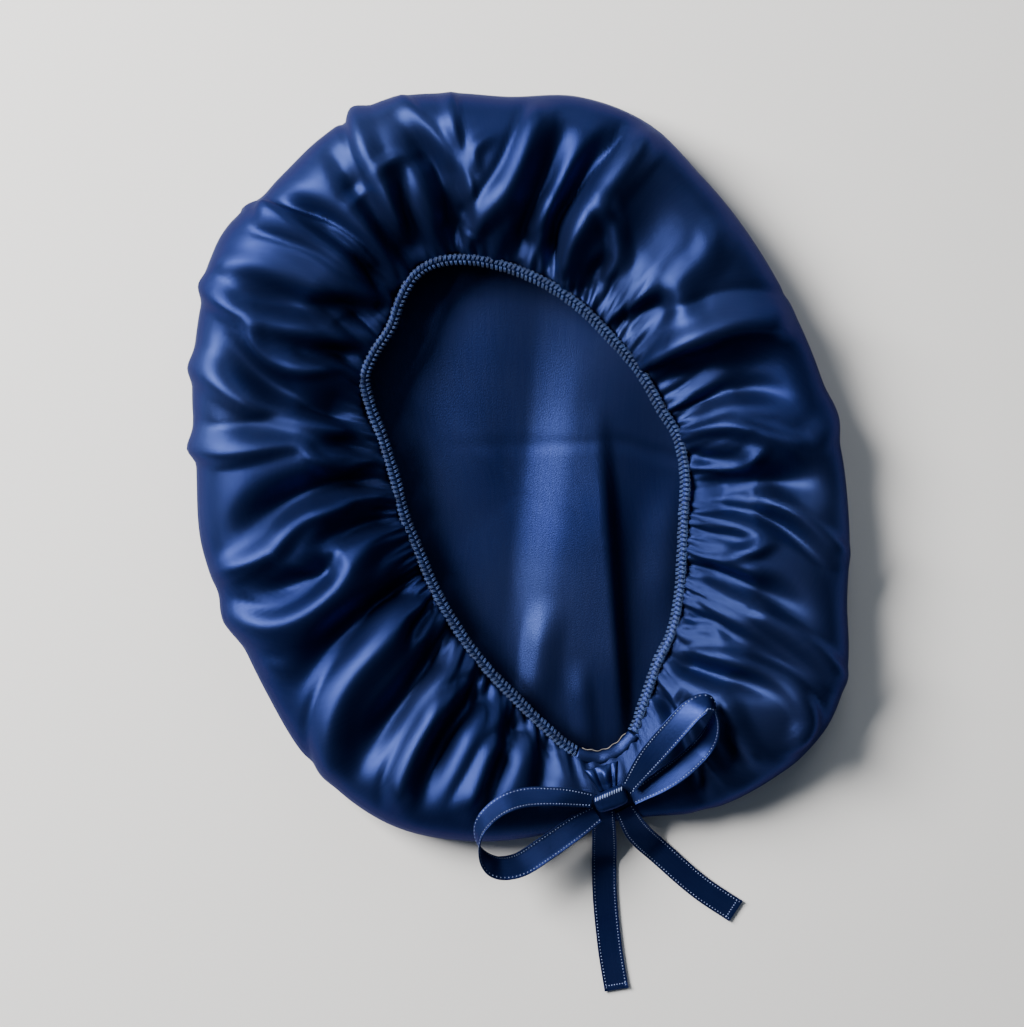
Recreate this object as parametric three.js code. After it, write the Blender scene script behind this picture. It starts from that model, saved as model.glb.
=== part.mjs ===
// A satin sleep bonnet that lies on its crown with the mouth up, as a gathered pouch of thin cloth.
// An overlocked elastic band closes the mouth, and a ribbon leaves the band and is tied in a bow.
// Millimetres, +Z up. The origin is under the middle of the whole object, on the surface it lies on.
import * as THREE from "three";

// Driving sizes of the pouch
const crownRadius = 150; // reach of the rim where its share is 1
const mouthRadius = 90; // reach of the band's middle line where its share is 1
const puffHeight = 33; // height of the gathered ring's crest where its share is 1
const mouthHeight = 18; // height of the band's middle line where its share is 1
const rimHeight = 9; // height of the widest line of the rim
const rimTuck = 11; // how far the cloth runs in under the rim before it lies on the surface
const clothWall = 1.2;
const crestShare = 0.44; // where the crest lies on the way from the mouth to the rim
const rimFullness = 2.8; // how full the ring stands towards the rim: 2 is an ellipse, more is squarer
const gatherCount = 33; // small gathers sewn into the band
const gatherDepth = 1.3;
const gatherReach = 15; // how far the small gathers run out from the band

// Driving sizes of the band and the bow
const bandWidth = 4.2;
const bandThickness = 2.4;
const bandTilt = 24; // degrees by which the band's inner side hangs down
const clearance = 0.35; // gap between pieces that touch
const layClearance = 0.6; // gap under a ribbon that lies on the cloth
const hemThickness = 1.4;
const ribbonWidth = 10;
const ribbonWall = 0.9;
const leadWidth = 6.5;
const knotLength = 13.5;
const knotWidth = 8;
const knotHeight = 6.6;
const knotTurn = 23; // degrees
const knotOffset = 17; // from the band's middle line out to the middle of the knot
const loopSpan = 55; // length of a bow loop, which its table's shares follow
const tailSpan = 80; // length of the longer ribbon tail

// Mesh steps
const columnCount = 132;
const bandSides = 6;
const stripSteps = 26;

// Where the band stops for the ribbon's way out, in degrees, and the middle of that gap
const gapStart = 281.5;
const gapEnd = 294.5;
const gapMiddle = 285.8;

// Plan outline of the rim: reach is a share of crownRadius
const rimShape = [
  { angle: 2, reach: 0.871 }, { angle: 20, reach: 0.86 }, { angle: 40, reach: 0.891 },
  { angle: 60, reach: 0.973 }, { angle: 71, reach: 1.045 }, { angle: 82, reach: 1.073 },
  { angle: 92, reach: 1.063 }, { angle: 101, reach: 1.092 }, { angle: 110, reach: 1.118 },
  { angle: 120, reach: 1.096 }, { angle: 128, reach: 1.07 }, { angle: 140, reach: 1.066 },
  { angle: 150, reach: 1.004 }, { angle: 160, reach: 0.949 }, { angle: 175, reach: 0.887 },
  { angle: 190, reach: 0.881 }, { angle: 205, reach: 0.862 }, { angle: 218, reach: 0.882 },
  { angle: 232, reach: 0.933 }, { angle: 248, reach: 0.971 }, { angle: 262, reach: 0.957 },
  { angle: 279, reach: 0.924 }, { angle: 290, reach: 0.94 }, { angle: 300, reach: 0.997 },
  { angle: 311, reach: 1.03 }, { angle: 320, reach: 1.044 }, { angle: 330, reach: 1.007 },
  { angle: 341, reach: 0.925 }, { angle: 352, reach: 0.89 },
];

// The band's middle line: reach is a share of mouthRadius, lift a share of mouthHeight
const mouthShape = [
  { angle: 5, reach: 0.733, lift: 0.66 }, { angle: 20, reach: 0.736, lift: 0.7 },
  { angle: 31, reach: 0.722, lift: 0.75 }, { angle: 46, reach: 0.75, lift: 0.85 },
  { angle: 60, reach: 0.788, lift: 1 }, { angle: 73, reach: 0.86, lift: 1.1 },
  { angle: 85, reach: 0.937, lift: 1.15 }, { angle: 95, reach: 1.005, lift: 1.15 },
  { angle: 103, reach: 1.056, lift: 1.2 }, { angle: 111, reach: 1.087, lift: 1.2 },
  { angle: 117, reach: 1.07, lift: 1.2 }, { angle: 123, reach: 1.008, lift: 1.2 },
  { angle: 129, reach: 0.937, lift: 1.2 }, { angle: 138, reach: 0.901, lift: 1.2 },
  { angle: 145, reach: 0.865, lift: 1.15 }, { angle: 151, reach: 0.783, lift: 1.1 },
  { angle: 160, reach: 0.668, lift: 1 }, { angle: 175, reach: 0.577, lift: 0.9 },
  { angle: 192, reach: 0.546, lift: 0.85 }, { angle: 211, reach: 0.544, lift: 0.8 },
  { angle: 229, reach: 0.599, lift: 0.8 }, { angle: 244, reach: 0.684, lift: 0.8 },
  { angle: 256, reach: 0.79, lift: 0.8 }, { angle: 267, reach: 0.921, lift: 0.75 },
  { angle: 275, reach: 1.062, lift: 0.7 }, { angle: 281, reach: 1.19, lift: 0.65 },
  { angle: 287, reach: 1.245, lift: 0.62 }, { angle: 294, reach: 1.2, lift: 0.6 },
  { angle: 300, reach: 1.093, lift: 0.6 }, { angle: 308, reach: 0.984, lift: 0.6 },
  { angle: 316, reach: 0.928, lift: 0.6 }, { angle: 326, reach: 0.849, lift: 0.6 },
  { angle: 338, reach: 0.773, lift: 0.62 }, { angle: 351, reach: 0.733, lift: 0.64 },
];

// Height of the crest of the gathered ring: height is a share of puffHeight
const puffShape = [
  { angle: 0, height: 0.9 }, { angle: 30, height: 0.95 }, { angle: 60, height: 1.05 },
  { angle: 90, height: 1.1 }, { angle: 125, height: 1.15 }, { angle: 155, height: 1.1 },
  { angle: 190, height: 1 }, { angle: 225, height: 0.95 }, { angle: 250, height: 0.9 },
  { angle: 267, height: 0.72 }, { angle: 280, height: 0.5 }, { angle: 293, height: 0.5 },
  { angle: 306, height: 0.72 }, { angle: 325, height: 0.9 },
];

// The main folds of the gathered ring. Each runs from angle `at` at its start to angle `to` at its end,
// bowed by `bow` degrees in the middle. start and end are shares of the way from the mouth to the rim,
// width is its half width as a share of crownRadius, spread the width at its end over that at its start,
// and rise its height as a share of puffHeight, which is negative for a crease.
const folds = [
  { at: 1, to: 2, bow: 0, start: 0, end: 1, width: 0.039, spread: 1.6, rise: -0.28 },
  { at: 11.5, to: 10, bow: -3, start: 0, end: 0.5, width: 0.022, spread: 1.2, rise: -0.12 },
  { at: 24.8, to: 16, bow: 4, start: 0, end: 0.9, width: 0.022, spread: 2, rise: -0.18 },
  { at: 37, to: 24, bow: 0, start: 0, end: 1, width: 0.056, spread: 1.6, rise: -0.2 },
  { at: 46.7, to: 31, bow: 0.5, start: 0, end: 0.95, width: 0.028, spread: 2.4, rise: 0.12 },
  { at: 61, to: 51, bow: -1, start: 0, end: 0.45, width: 0.025, spread: 1.3, rise: -0.16 },
  { at: 68.5, to: 61, bow: 0, start: 0, end: 1, width: 0.056, spread: 1.8, rise: -0.14 },
  { at: 74.3, to: 70, bow: 0, start: 0, end: 0.3, width: 0.021, spread: 1.2, rise: -0.14 },
  { at: 84.5, to: 73, bow: 1.5, start: 0, end: 1, width: 0.022, spread: 1.3, rise: -0.26 },
  { at: 92, to: 82, bow: -0.5, start: 0, end: 0.95, width: 0.027, spread: 1.5, rise: -0.22 },
  { at: 102.5, to: 101, bow: 0, start: 0.12, end: 0.8, width: 0.021, spread: 1.5, rise: -0.14 },
  { at: 106, to: 108, bow: -1.5, start: 0, end: 0.95, width: 0.025, spread: 2, rise: -0.24 },
  { at: 113.5, to: 111, bow: 0.5, start: 0, end: 0.65, width: 0.021, spread: 1.2, rise: -0.15 },
  { at: 115.5, to: 119, bow: 1, start: 0, end: 0.75, width: 0.021, spread: 1.3, rise: -0.17 },
  { at: 119, to: 119.5, bow: 0, start: 0.55, end: 1, width: 0.034, spread: 1, rise: -0.1 },
  { at: 122, to: 133, bow: -1, start: 0, end: 1.1, width: 0.022, spread: 1.8, rise: -0.36 },
  { at: 126, to: 138, bow: 1, start: 0, end: 0.42, width: 0.021, spread: 1.3, rise: -0.14 },
  { at: 130.5, to: 145.5, bow: 2.5, start: 0, end: 0.9, width: 0.025, spread: 2, rise: -0.22 },
  { at: 139.5, to: 149, bow: 2, start: 0, end: 0.62, width: 0.021, spread: 1.5, rise: -0.16 },
  { at: 152.5, to: 150.5, bow: 6, start: 0, end: 1, width: 0.034, spread: 1.8, rise: -0.3 },
  { at: 163, to: 167, bow: 1, start: 0, end: 0.95, width: 0.021, spread: 2, rise: -0.14 },
  { at: 174, to: 192, bow: -1, start: 0, end: 0.95, width: 0.028, spread: 2.2, rise: -0.27 },
  { at: 191.5, to: 197, bow: -2, start: 0, end: 0.52, width: 0.029, spread: 1.2, rise: -0.17 },
  { at: 201, to: 198.5, bow: 2.5, start: 0.36, end: 0.92, width: 0.034, spread: 1.3, rise: -0.16 },
  { at: 220, to: 222, bow: -2.5, start: 0, end: 0.95, width: 0.028, spread: 2, rise: -0.28 },
  { at: 232, to: 234, bow: 0, start: 0, end: 0.3, width: 0.021, spread: 1.2, rise: -0.1 },
  { at: 245, to: 238, bow: -1.5, start: 0, end: 1, width: 0.029, spread: 2, rise: -0.3 },
  { at: 261, to: 252.5, bow: -4, start: 0, end: 0.95, width: 0.027, spread: 1.7, rise: -0.26 },
  { at: 271, to: 263, bow: -1, start: 0, end: 0.85, width: 0.022, spread: 1.5, rise: -0.2 },
  { at: 277, to: 272, bow: 0, start: 0, end: 0.9, width: 0.021, spread: 1.4, rise: -0.12 },
  { at: 303, to: 299, bow: 0, start: 0, end: 1.1, width: 0.021, spread: 1.4, rise: -0.2 },
  { at: 306.5, to: 307.5, bow: 0, start: 0.2, end: 1, width: 0.021, spread: 1.3, rise: -0.14 },
  { at: 310.5, to: 325, bow: 0.5, start: 0, end: 0.82, width: 0.025, spread: 1.7, rise: -0.24 },
  { at: 322, to: 326.5, bow: 1.5, start: 0, end: 0.9, width: 0.022, spread: 1.7, rise: -0.16 },
  { at: 334.5, to: 336, bow: 1.5, start: 0, end: 0.88, width: 0.025, spread: 2.2, rise: -0.22 },
  { at: 346, to: 348, bow: 0, start: 0, end: 0.46, width: 0.022, spread: 1.3, rise: -0.13 },
  { at: 353.5, to: 343.5, bow: 4.5, start: 0, end: 1, width: 0.021, spread: 2.2, rise: -0.2 },
];

// Soft wrinkles of the crown's cloth inside the mouth, from one point to another. x and y are shares
// of crownRadius, width too, and rise is a share of puffHeight.
const crownWrinkles = [
  { x0: 0.07, y0: 0.42, x1: 0.04, y1: -0.5, width: 0.13, rise: 0.06 },
  { x0: 0.19, y0: 0.06, x1: 0.26, y1: -0.62, width: 0.06, rise: 0.06 },
  { x0: -0.3, y0: 0.1, x1: 0.38, y1: 0.13, width: 0.06, rise: 0.03 },
];

// Bow loops, from the knot out and back. x, y and lift are shares of loopSpan: x and y from the middle of
// the knot, and lift above the cloth. breadth is a share of ribbonWidth, and face the angle in degrees by
// which the outer side of the loop looks up.
const leftLoop = [
  { x: -0.14, y: -0.005, lift: 0.05, breadth: 0.6, face: 84 },
  { x: -0.38, y: 0.03, lift: 0.05, breadth: 0.85, face: 55 },
  { x: -0.64, y: 0.03, lift: 0.045, breadth: 1, face: 45 },
  { x: -0.82, y: -0.04, lift: 0.04, breadth: 1, face: 42 },
  { x: -0.95, y: -0.18, lift: 0.03, breadth: 1, face: 30 },
  { x: -0.95, y: -0.35, lift: 0.02, breadth: 1, face: -5 },
  { x: -0.84, y: -0.48, lift: 0.01, breadth: 1, face: -55 },
  { x: -0.67, y: -0.475, lift: 0.005, breadth: 1, face: -75 },
  { x: -0.47, y: -0.355, lift: 0.003, breadth: 1, face: -80 },
  { x: -0.27, y: -0.215, lift: 0.002, breadth: 0.9, face: -82 },
  { x: -0.14, y: -0.125, lift: 0, breadth: 0.6, face: -86 },
];
const rightLoop = [
  { x: 0.13, y: 0.095, lift: 0.06, breadth: 0.6, face: 84 },
  { x: 0.28, y: 0.32, lift: 0.11, breadth: 0.95, face: 76 },
  { x: 0.44, y: 0.52, lift: 0.14, breadth: 1, face: 72 },
  { x: 0.575, y: 0.67, lift: 0.13, breadth: 1, face: 62 },
  { x: 0.68, y: 0.725, lift: 0.09, breadth: 1, face: 40 },
  { x: 0.74, y: 0.65, lift: 0.05, breadth: 1, face: 0 },
  { x: 0.7, y: 0.46, lift: 0.02, breadth: 1, face: -42 },
  { x: 0.56, y: 0.29, lift: 0.01, breadth: 1, face: -55 },
  { x: 0.38, y: 0.145, lift: 0.005, breadth: 0.9, face: -72 },
  { x: 0.155, y: 0.005, lift: 0, breadth: 0.6, face: -86 },
];

// Ribbon tails, from the knot down to the surface. x and y are shares of tailSpan from the knot's middle.
const leftTail = [
  { x: -0.035, y: -0.058, lift: 0, breadth: 0.9, face: 90 },
  { x: -0.025, y: -0.26, lift: 0, breadth: 1, face: 90 },
  { x: -0.02, y: -0.52, lift: 0, breadth: 1, face: 90 },
  { x: 0.005, y: -0.78, lift: 0, breadth: 1, face: 90 },
  { x: 0.04, y: -1, lift: 0, breadth: 1, face: 90 },
];
const rightTail = [
  { x: 0.073, y: -0.05, lift: 0, breadth: 0.8, face: 90 },
  { x: 0.15, y: -0.19, lift: 0, breadth: 1, face: 90 },
  { x: 0.3, y: -0.335, lift: 0, breadth: 1, face: 90 },
  { x: 0.47, y: -0.48, lift: 0, breadth: 1, face: 90 },
  { x: 0.65, y: -0.6, lift: 0, breadth: 1, face: 90 },
];

const wrinkleFoot = 0.1; // share of a wrinkle's bell that is cut off, so that the cloth beside it is flat

const radians = (degrees) => (degrees * Math.PI) / 180;
const wrapTurn = (degrees) => ((degrees % 360) + 360) % 360;
const smoothStep = (share) => {
  const s = Math.min(1, Math.max(0, share));
  return s * s * (3 - 2 * s);
};

// A cubic through four values at four places, between the middle two.
function cubicBetween([v0, v1, v2, v3], [x0, x1, x2, x3], x) {
  const span = x2 - x1;
  const s = (x - x1) / span;
  const slope1 = ((v2 - v0) / (x2 - x0)) * span;
  const slope2 = ((v3 - v1) / (x3 - x1)) * span;
  return (
    (2 * s ** 3 - 3 * s ** 2 + 1) * v1 + (s ** 3 - 2 * s ** 2 + s) * slope1 +
    (3 * s ** 2 - 2 * s ** 3) * v2 + (s ** 3 - s ** 2) * slope2
  );
}

// A column of a table by angle, on a smooth closed curve through its rows.
function around(rows, column, angle) {
  const a = wrapTurn(angle);
  const last = rows.findLastIndex((row) => row.angle <= a);
  const picked = [-1, 0, 1, 2].map((step) => {
    const index = last + step;
    const turns = Math.floor(index / rows.length);
    return { ...rows[index - turns * rows.length], turns };
  });
  const values = picked.map((row) => row[column]);
  const places = picked.map((row) => row.angle + 360 * row.turns);
  return cubicBetween(values, places, a);
}

// A column of an open table, on a smooth curve through its rows, at a share of the way along it.
function along(rows, column, share) {
  const place = share * (rows.length - 1);
  const first = Math.min(rows.length - 2, Math.floor(place));
  const indices = [first - 1, first, first + 1, first + 2];
  const values = indices.map((i) => {
    const inside = Math.min(rows.length - 1, Math.max(0, i));
    const edge = rows[inside][column];
    return i === inside ? edge : 2 * edge - rows[2 * inside - i][column];
  });
  return cubicBetween(values, indices, place);
}

const rimReach = (angle) => around(rimShape, "reach", angle) * crownRadius;
const bandReach = (angle) => around(mouthShape, "reach", angle) * mouthRadius;
const bandLift = (angle) => around(mouthShape, "lift", angle) * mouthHeight;

// Angles whose points stand evenly along the line halfway between the mouth and the rim.
function evenAngles(count, startAngle, turn) {
  const fine = 720;
  const point = (k) => {
    const angle = startAngle + (turn * k) / fine;
    const reach = (rimReach(angle) + 2 * bandReach(angle)) / 3;
    return new THREE.Vector2(reach * Math.cos(radians(angle)), reach * Math.sin(radians(angle)));
  };
  const lengths = [0];
  for (let k = 1; k <= fine; k += 1) lengths.push(lengths[k - 1] + point(k).distanceTo(point(k - 1)));
  return Array.from({ length: count }, (_, i) => {
    const wanted = (lengths[fine] * i) / count;
    const k = lengths.findLastIndex((length) => length <= wanted);
    const rest = (wanted - lengths[k]) / (lengths[k + 1] - lengths[k]);
    return startAngle + (turn * (k + rest)) / fine;
  });
}

// The band's middle at an angle, with the direction across its width and the one out of its upper face.
function bandFrame(angle) {
  const facing = (a) => new THREE.Vector2(Math.cos(radians(a)), Math.sin(radians(a)));
  const pointAt = (a) => facing(a).multiplyScalar(bandReach(a));
  const step = 0.5;
  const place = pointAt(angle);
  const tangent = pointAt(angle + step).sub(pointAt(angle - step)).normalize();
  const [level, steep] = [Math.cos(radians(bandTilt)), Math.sin(radians(bandTilt))];
  return {
    middle: new THREE.Vector3(place.x, place.y, bandLift(angle)),
    across: new THREE.Vector3(tangent.y * level, -tangent.x * level, steep),
    up: new THREE.Vector3(-tangent.y * steep, tangent.x * steep, level),
  };
}

// Where the cloth starts, just outside the band.
function clothStart(angle) {
  const { middle, across } = bandFrame(angle);
  return middle.addScaledVector(across, bandWidth / 2 + clearance);
}

// Height of the smooth gathered ring at a share of the way from the mouth to the rim.
function ringHeight(angle, share) {
  const crest = around(puffShape, "height", angle) * puffHeight;
  if (share > crestShare) {
    const out = (share - crestShare) / (1 - crestShare);
    return rimHeight + (crest - rimHeight) * Math.sqrt(Math.max(0, 1 - out ** rimFullness));
  }
  const edge = clothStart(angle).z;
  return edge + (crest - edge) * Math.sin(((Math.PI / 2) * share) / crestShare);
}

// How far one fold lifts the cloth at an angle and a share of the way from the mouth to the rim.
function foldLift(fold, angle, share, reach) {
  const s = (share - fold.start) / (fold.end - fold.start);
  if (s < 0 || s > 1) return 0;
  const middle = fold.at + (fold.to - fold.at) * s + fold.bow * 4 * s * (1 - s);
  const turn = wrapTurn(angle - middle + 180) - 180;
  const slant = radians(fold.to - fold.at + fold.bow * (4 - 8 * s)) / (fold.end - fold.start);
  const span = rimReach(angle) - bandReach(angle);
  const across = (radians(turn) * reach) / Math.hypot(1, (slant * reach) / span);
  const width = fold.width * crownRadius * (1 + (fold.spread - 1) * s);
  const rising = 0.3 + 0.7 * smoothStep(s / 0.15);
  const fading = 1 - smoothStep((s - 0.5) / 0.5);
  return fold.rise * puffHeight * rising * fading * Math.exp(-((across / width) ** 2));
}

// The small gathers at the band, which fade outwards.
function gatherLift(turnShare, share, span) {
  const fade = Math.exp(-((share * span) / gatherReach));
  return gatherDepth * fade * Math.cos(2 * Math.PI * gatherCount * turnShare);
}

// How far the wrinkles lift the crown's cloth at a point of the floor.
function wrinkleLift(x, y) {
  return crownWrinkles.reduce((sum, wrinkle) => {
    const start = new THREE.Vector2(wrinkle.x0, wrinkle.y0).multiplyScalar(crownRadius);
    const run = new THREE.Vector2(wrinkle.x1, wrinkle.y1).multiplyScalar(crownRadius).sub(start);
    const place = new THREE.Vector2(x, y).sub(start);
    const s = place.dot(run) / run.lengthSq();
    const across = place.cross(run) / run.length();
    const fade = smoothStep((s + 0.1) / 0.4) * smoothStep((1.1 - s) / 0.4);
    const bell = Math.max(0, Math.exp(-((across / (wrinkle.width * crownRadius)) ** 2)) - wrinkleFoot);
    return sum + wrinkle.rise * puffHeight * fade * bell;
  }, 0);
}

// Rows of the pouch's outer side, from under the crown's middle, round the rim and in to the mouth.
const floorShares = [0.22, 0.44, 0.62, 0.8, 1];
const underTurns = [45, 90]; // degrees round the quarter turn under the rim
const ringShares = [0.985, 0.92, 0.82, 0.7, 0.57, 0.44, 0.31, 0.19, 0.09, 0];

// The outer side of the pouch before folds: one row of points for each step of the profile.
function smoothRows(angles) {
  const at = (angle, reach, height) =>
    new THREE.Vector3(reach * Math.cos(radians(angle)), reach * Math.sin(radians(angle)), height);
  const floor = floorShares.map((share) => angles.map((a) => at(a, (rimReach(a) - rimTuck) * share, 0)));
  const under = underTurns.map((turn) =>
    angles.map((a) => {
      const reach = rimReach(a) - rimTuck * (1 - Math.sin(radians(turn)));
      return at(a, reach, rimHeight * (1 - Math.cos(radians(turn))));
    }),
  );
  const ring = ringShares.map((share) =>
    angles.map((a) => clothStart(a).lerp(at(a, rimReach(a), 0), share).setZ(ringHeight(a, share))),
  );
  return [...floor, ...under, ...ring];
}

// Normals of the pouch's grid. Those of its last row, at the band, are square to the band's edge.
function gridNormals(rows, angles) {
  return rows.map((row, i) =>
    row.map((_, j) => {
      if (i === rows.length - 1) return bandFrame(angles[j]).up;
      const before = row[(j + row.length - 1) % row.length];
      const after = row[(j + 1) % row.length];
      const inner = rows[Math.max(0, i - 1)][j];
      const outer = rows[Math.min(rows.length - 1, i + 1)][j];
      return after.clone().sub(before).cross(outer.clone().sub(inner)).normalize();
    }),
  );
}

// The pouch's outer side with its folds, gathers and wrinkles.
function foldedRows(angles) {
  const smooth = smoothRows(angles);
  const normals = gridNormals(smooth, angles);
  const rimRow = floorShares.length + underTurns.length - 1;
  return smooth.map((row, i) =>
    row.map((point, j) => {
      const reach = Math.hypot(point.x, point.y);
      if (i < floorShares.length) {
        const flat = smoothStep((1 - floorShares[i]) / 0.2);
        return point.clone().setZ(flat * wrinkleLift(point.x, point.y));
      }
      const share = i <= rimRow ? 1 : ringShares[i - rimRow - 1];
      const underFade = i < rimRow ? 0.4 : 1;
      const span = rimReach(angles[j]) - bandReach(angles[j]);
      const lift = folds.reduce((sum, fold) => sum + foldLift(fold, angles[j], share, reach), 0);
      const gather = gatherLift(j / angles.length, share, span);
      return point.clone().addScaledVector(normals[i][j], underFade * lift + gather);
    }),
  );
}

// A closed surface from an outer and an inner grid that share the same rows, with a pole at the first row
// of each and joined along the last.
function wallGeometry(outer, inner, outerPole, innerPole) {
  const columns = outer[0].length;
  const points = [outerPole, innerPole, ...outer.flat(), ...inner.flat()];
  const at = (side, i, j) => 2 + side * outer.length * columns + i * columns + (j % columns);
  const faces = [];
  for (let j = 0; j < columns; j += 1) {
    faces.push(0, at(0, 0, j + 1), at(0, 0, j));
    faces.push(1, at(1, 0, j), at(1, 0, j + 1));
    for (let i = 0; i < outer.length - 1; i += 1) {
      faces.push(at(0, i, j), at(0, i, j + 1), at(0, i + 1, j));
      faces.push(at(0, i, j + 1), at(0, i + 1, j + 1), at(0, i + 1, j));
      faces.push(at(1, i, j), at(1, i + 1, j), at(1, i, j + 1));
      faces.push(at(1, i, j + 1), at(1, i + 1, j), at(1, i + 1, j + 1));
    }
    const end = outer.length - 1;
    faces.push(at(0, end, j), at(0, end, j + 1), at(1, end, j));
    faces.push(at(0, end, j + 1), at(1, end, j + 1), at(1, end, j));
  }
  return indexedGeometry(points, faces);
}

function indexedGeometry(points, faces) {
  const geometry = new THREE.BufferGeometry();
  geometry.setAttribute("position", new THREE.Float32BufferAttribute(points.flatMap((p) => p.toArray()), 3));
  geometry.setIndex(faces);
  geometry.computeVertexNormals();
  return geometry;
}

// A closed body through rings of points, with a flat cap at each end.
function ringedGeometry(rings) {
  const sides = rings[0].length;
  const faces = [];
  for (let i = 0; i < rings.length - 1; i += 1)
    for (let k = 0; k < sides; k += 1) {
      const [a, b] = [i * sides + k, i * sides + ((k + 1) % sides)];
      faces.push(a, b, a + sides, b, b + sides, a + sides);
    }
  const lastRing = (rings.length - 1) * sides;
  for (let k = 1; k < sides - 1; k += 1) {
    faces.push(0, k + 1, k);
    faces.push(lastRing, lastRing + k, lastRing + k + 1);
  }
  return indexedGeometry(rings.flat(), faces);
}

const columnAngles = evenAngles(columnCount, gapEnd, 360);

// The gathered cloth pouch
function makeCloth() {
  const angles = columnAngles;
  const outer = foldedRows(angles);
  const normals = gridNormals(outer, angles);
  const inner = outer.map((row, i) =>
    row.map((point, j) => {
      if (i < floorShares.length) return point.clone().setZ(point.z + clothWall);
      return point.clone().addScaledVector(normals[i][j], -clothWall);
    }),
  );
  const middle = wrinkleLift(0, 0);
  const outerPole = new THREE.Vector3(0, 0, middle);
  const innerPole = new THREE.Vector3(0, 0, middle + clothWall);
  return wallGeometry(outer, inner, outerPole, innerPole);
}

// A section of the mouth's edge: a ring of points round its middle line, tilted as the band is.
function edgeRing(angle, width, thickness, sides) {
  const { middle, across, up } = bandFrame(angle);
  const outward = 1 / Math.cos(Math.PI / sides);
  return Array.from({ length: sides }, (_, k) => {
    const turn = (2 * Math.PI * (k + 0.5)) / sides;
    return middle.clone()
      .addScaledVector(across, (Math.cos(turn) * outward * width) / 2)
      .addScaledVector(up, (Math.sin(turn) * thickness) / 2);
  });
}

// The overlocked elastic band round the mouth, open where the ribbon leaves it
function makeBand() {
  const lastAngle = gapStart + 360;
  const angles = [...columnAngles.filter((angle) => angle < lastAngle - 1), lastAngle];
  return ringedGeometry(angles.map((a) => edgeRing(a, bandWidth, bandThickness, bandSides)).reverse());
}

// The turned hem that closes the mouth between the band's two ends
function makeHem() {
  const inset = THREE.MathUtils.radToDeg(clearance / bandReach(gapMiddle));
  const [first, last] = [gapStart + 360 + inset, gapEnd + 360 - inset];
  const between = columnAngles.filter((angle) => angle > first + inset && angle < last - inset);
  const rings = [first, ...between, last].map((a) => edgeRing(a, bandWidth, hemThickness, bandSides));
  return ringedGeometry(rings.reverse());
}

const knotReach = bandReach(gapMiddle) + knotOffset;
const knotPlace = new THREE.Vector2(Math.cos(radians(gapMiddle)), Math.sin(radians(gapMiddle)))
  .multiplyScalar(knotReach);

// Height of the top of the given meshes under a point, or 0 where only the surface is there.
function topUnder(meshes, x, y) {
  const ray = new THREE.Raycaster(new THREE.Vector3(x, y, 10 * puffHeight), new THREE.Vector3(0, 0, -1));
  const hits = ray.intersectObjects(meshes, false);
  return hits.length ? hits[0].point.z : 0;
}

// A ribbon through a table's rows, laid on the given meshes. turn is 1 where the outer side is on the right
// of the way along it and -1 where it is on the left. steepest limits how fast it comes down.
function ribbonGeometry(rows, span, turn, steepest, supports, fullWidth = ribbonWidth) {
  const sections = Array.from({ length: stripSteps + 1 }, (_, i) => {
    const share = i / stripSteps;
    const value = (column) => along(rows, column, share);
    const place = new THREE.Vector2(value("x"), value("y")).multiplyScalar(span).add(knotPlace);
    const width = value("breadth") * fullWidth;
    return { place, width, lift: value("lift") * span, face: radians(value("face")) };
  });
  sections.forEach((section, i) => {
    const before = sections[Math.max(0, i - 1)].place;
    const after = sections[Math.min(stripSteps, i + 1)].place;
    const tangent = after.clone().sub(before).normalize();
    const out = new THREE.Vector3(tangent.y, -tangent.x, 0).multiplyScalar(turn);
    section.normal = out.clone().multiplyScalar(Math.cos(section.face)).setZ(Math.sin(section.face));
    section.side = out.clone().multiplyScalar(-Math.sin(section.face)).setZ(Math.cos(section.face));
    const tops = [-1, -0.5, 0, 0.5, 1].map((k) => {
      const x = section.place.x + (section.side.x * section.width * k) / 2;
      const y = section.place.y + (section.side.y * section.width * k) / 2;
      return topUnder(supports, x, y);
    });
    section.support = Math.max(...tops);
    section.depth = (Math.abs(section.side.z) * section.width + Math.abs(section.normal.z) * ribbonWall) / 2;
  });
  const eased = sections.map((section) =>
    Math.max(...sections.map((other) => other.support - steepest * other.place.distanceTo(section.place))),
  );
  const rings = sections.map((section, i) => {
    const near = [i - 1, i, i + 1].map((k) => eased[Math.min(stripSteps, Math.max(0, k))]);
    const rest = Math.max(eased[i], (near[0] + near[1] + near[2]) / 3) + layClearance;
    const middle = new THREE.Vector3(section.place.x, section.place.y, rest + section.depth + section.lift);
    const corner = (across, through) =>
      middle.clone()
        .addScaledVector(section.side, (across * section.width) / 2)
        .addScaledVector(section.normal, (through * ribbonWall) / 2);
    const ring = [corner(-1, -1), corner(1, -1), corner(1, 1), corner(-1, 1)];
    return turn > 0 ? ring : ring.reverse();
  });
  return ringedGeometry(rings);
}

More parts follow.
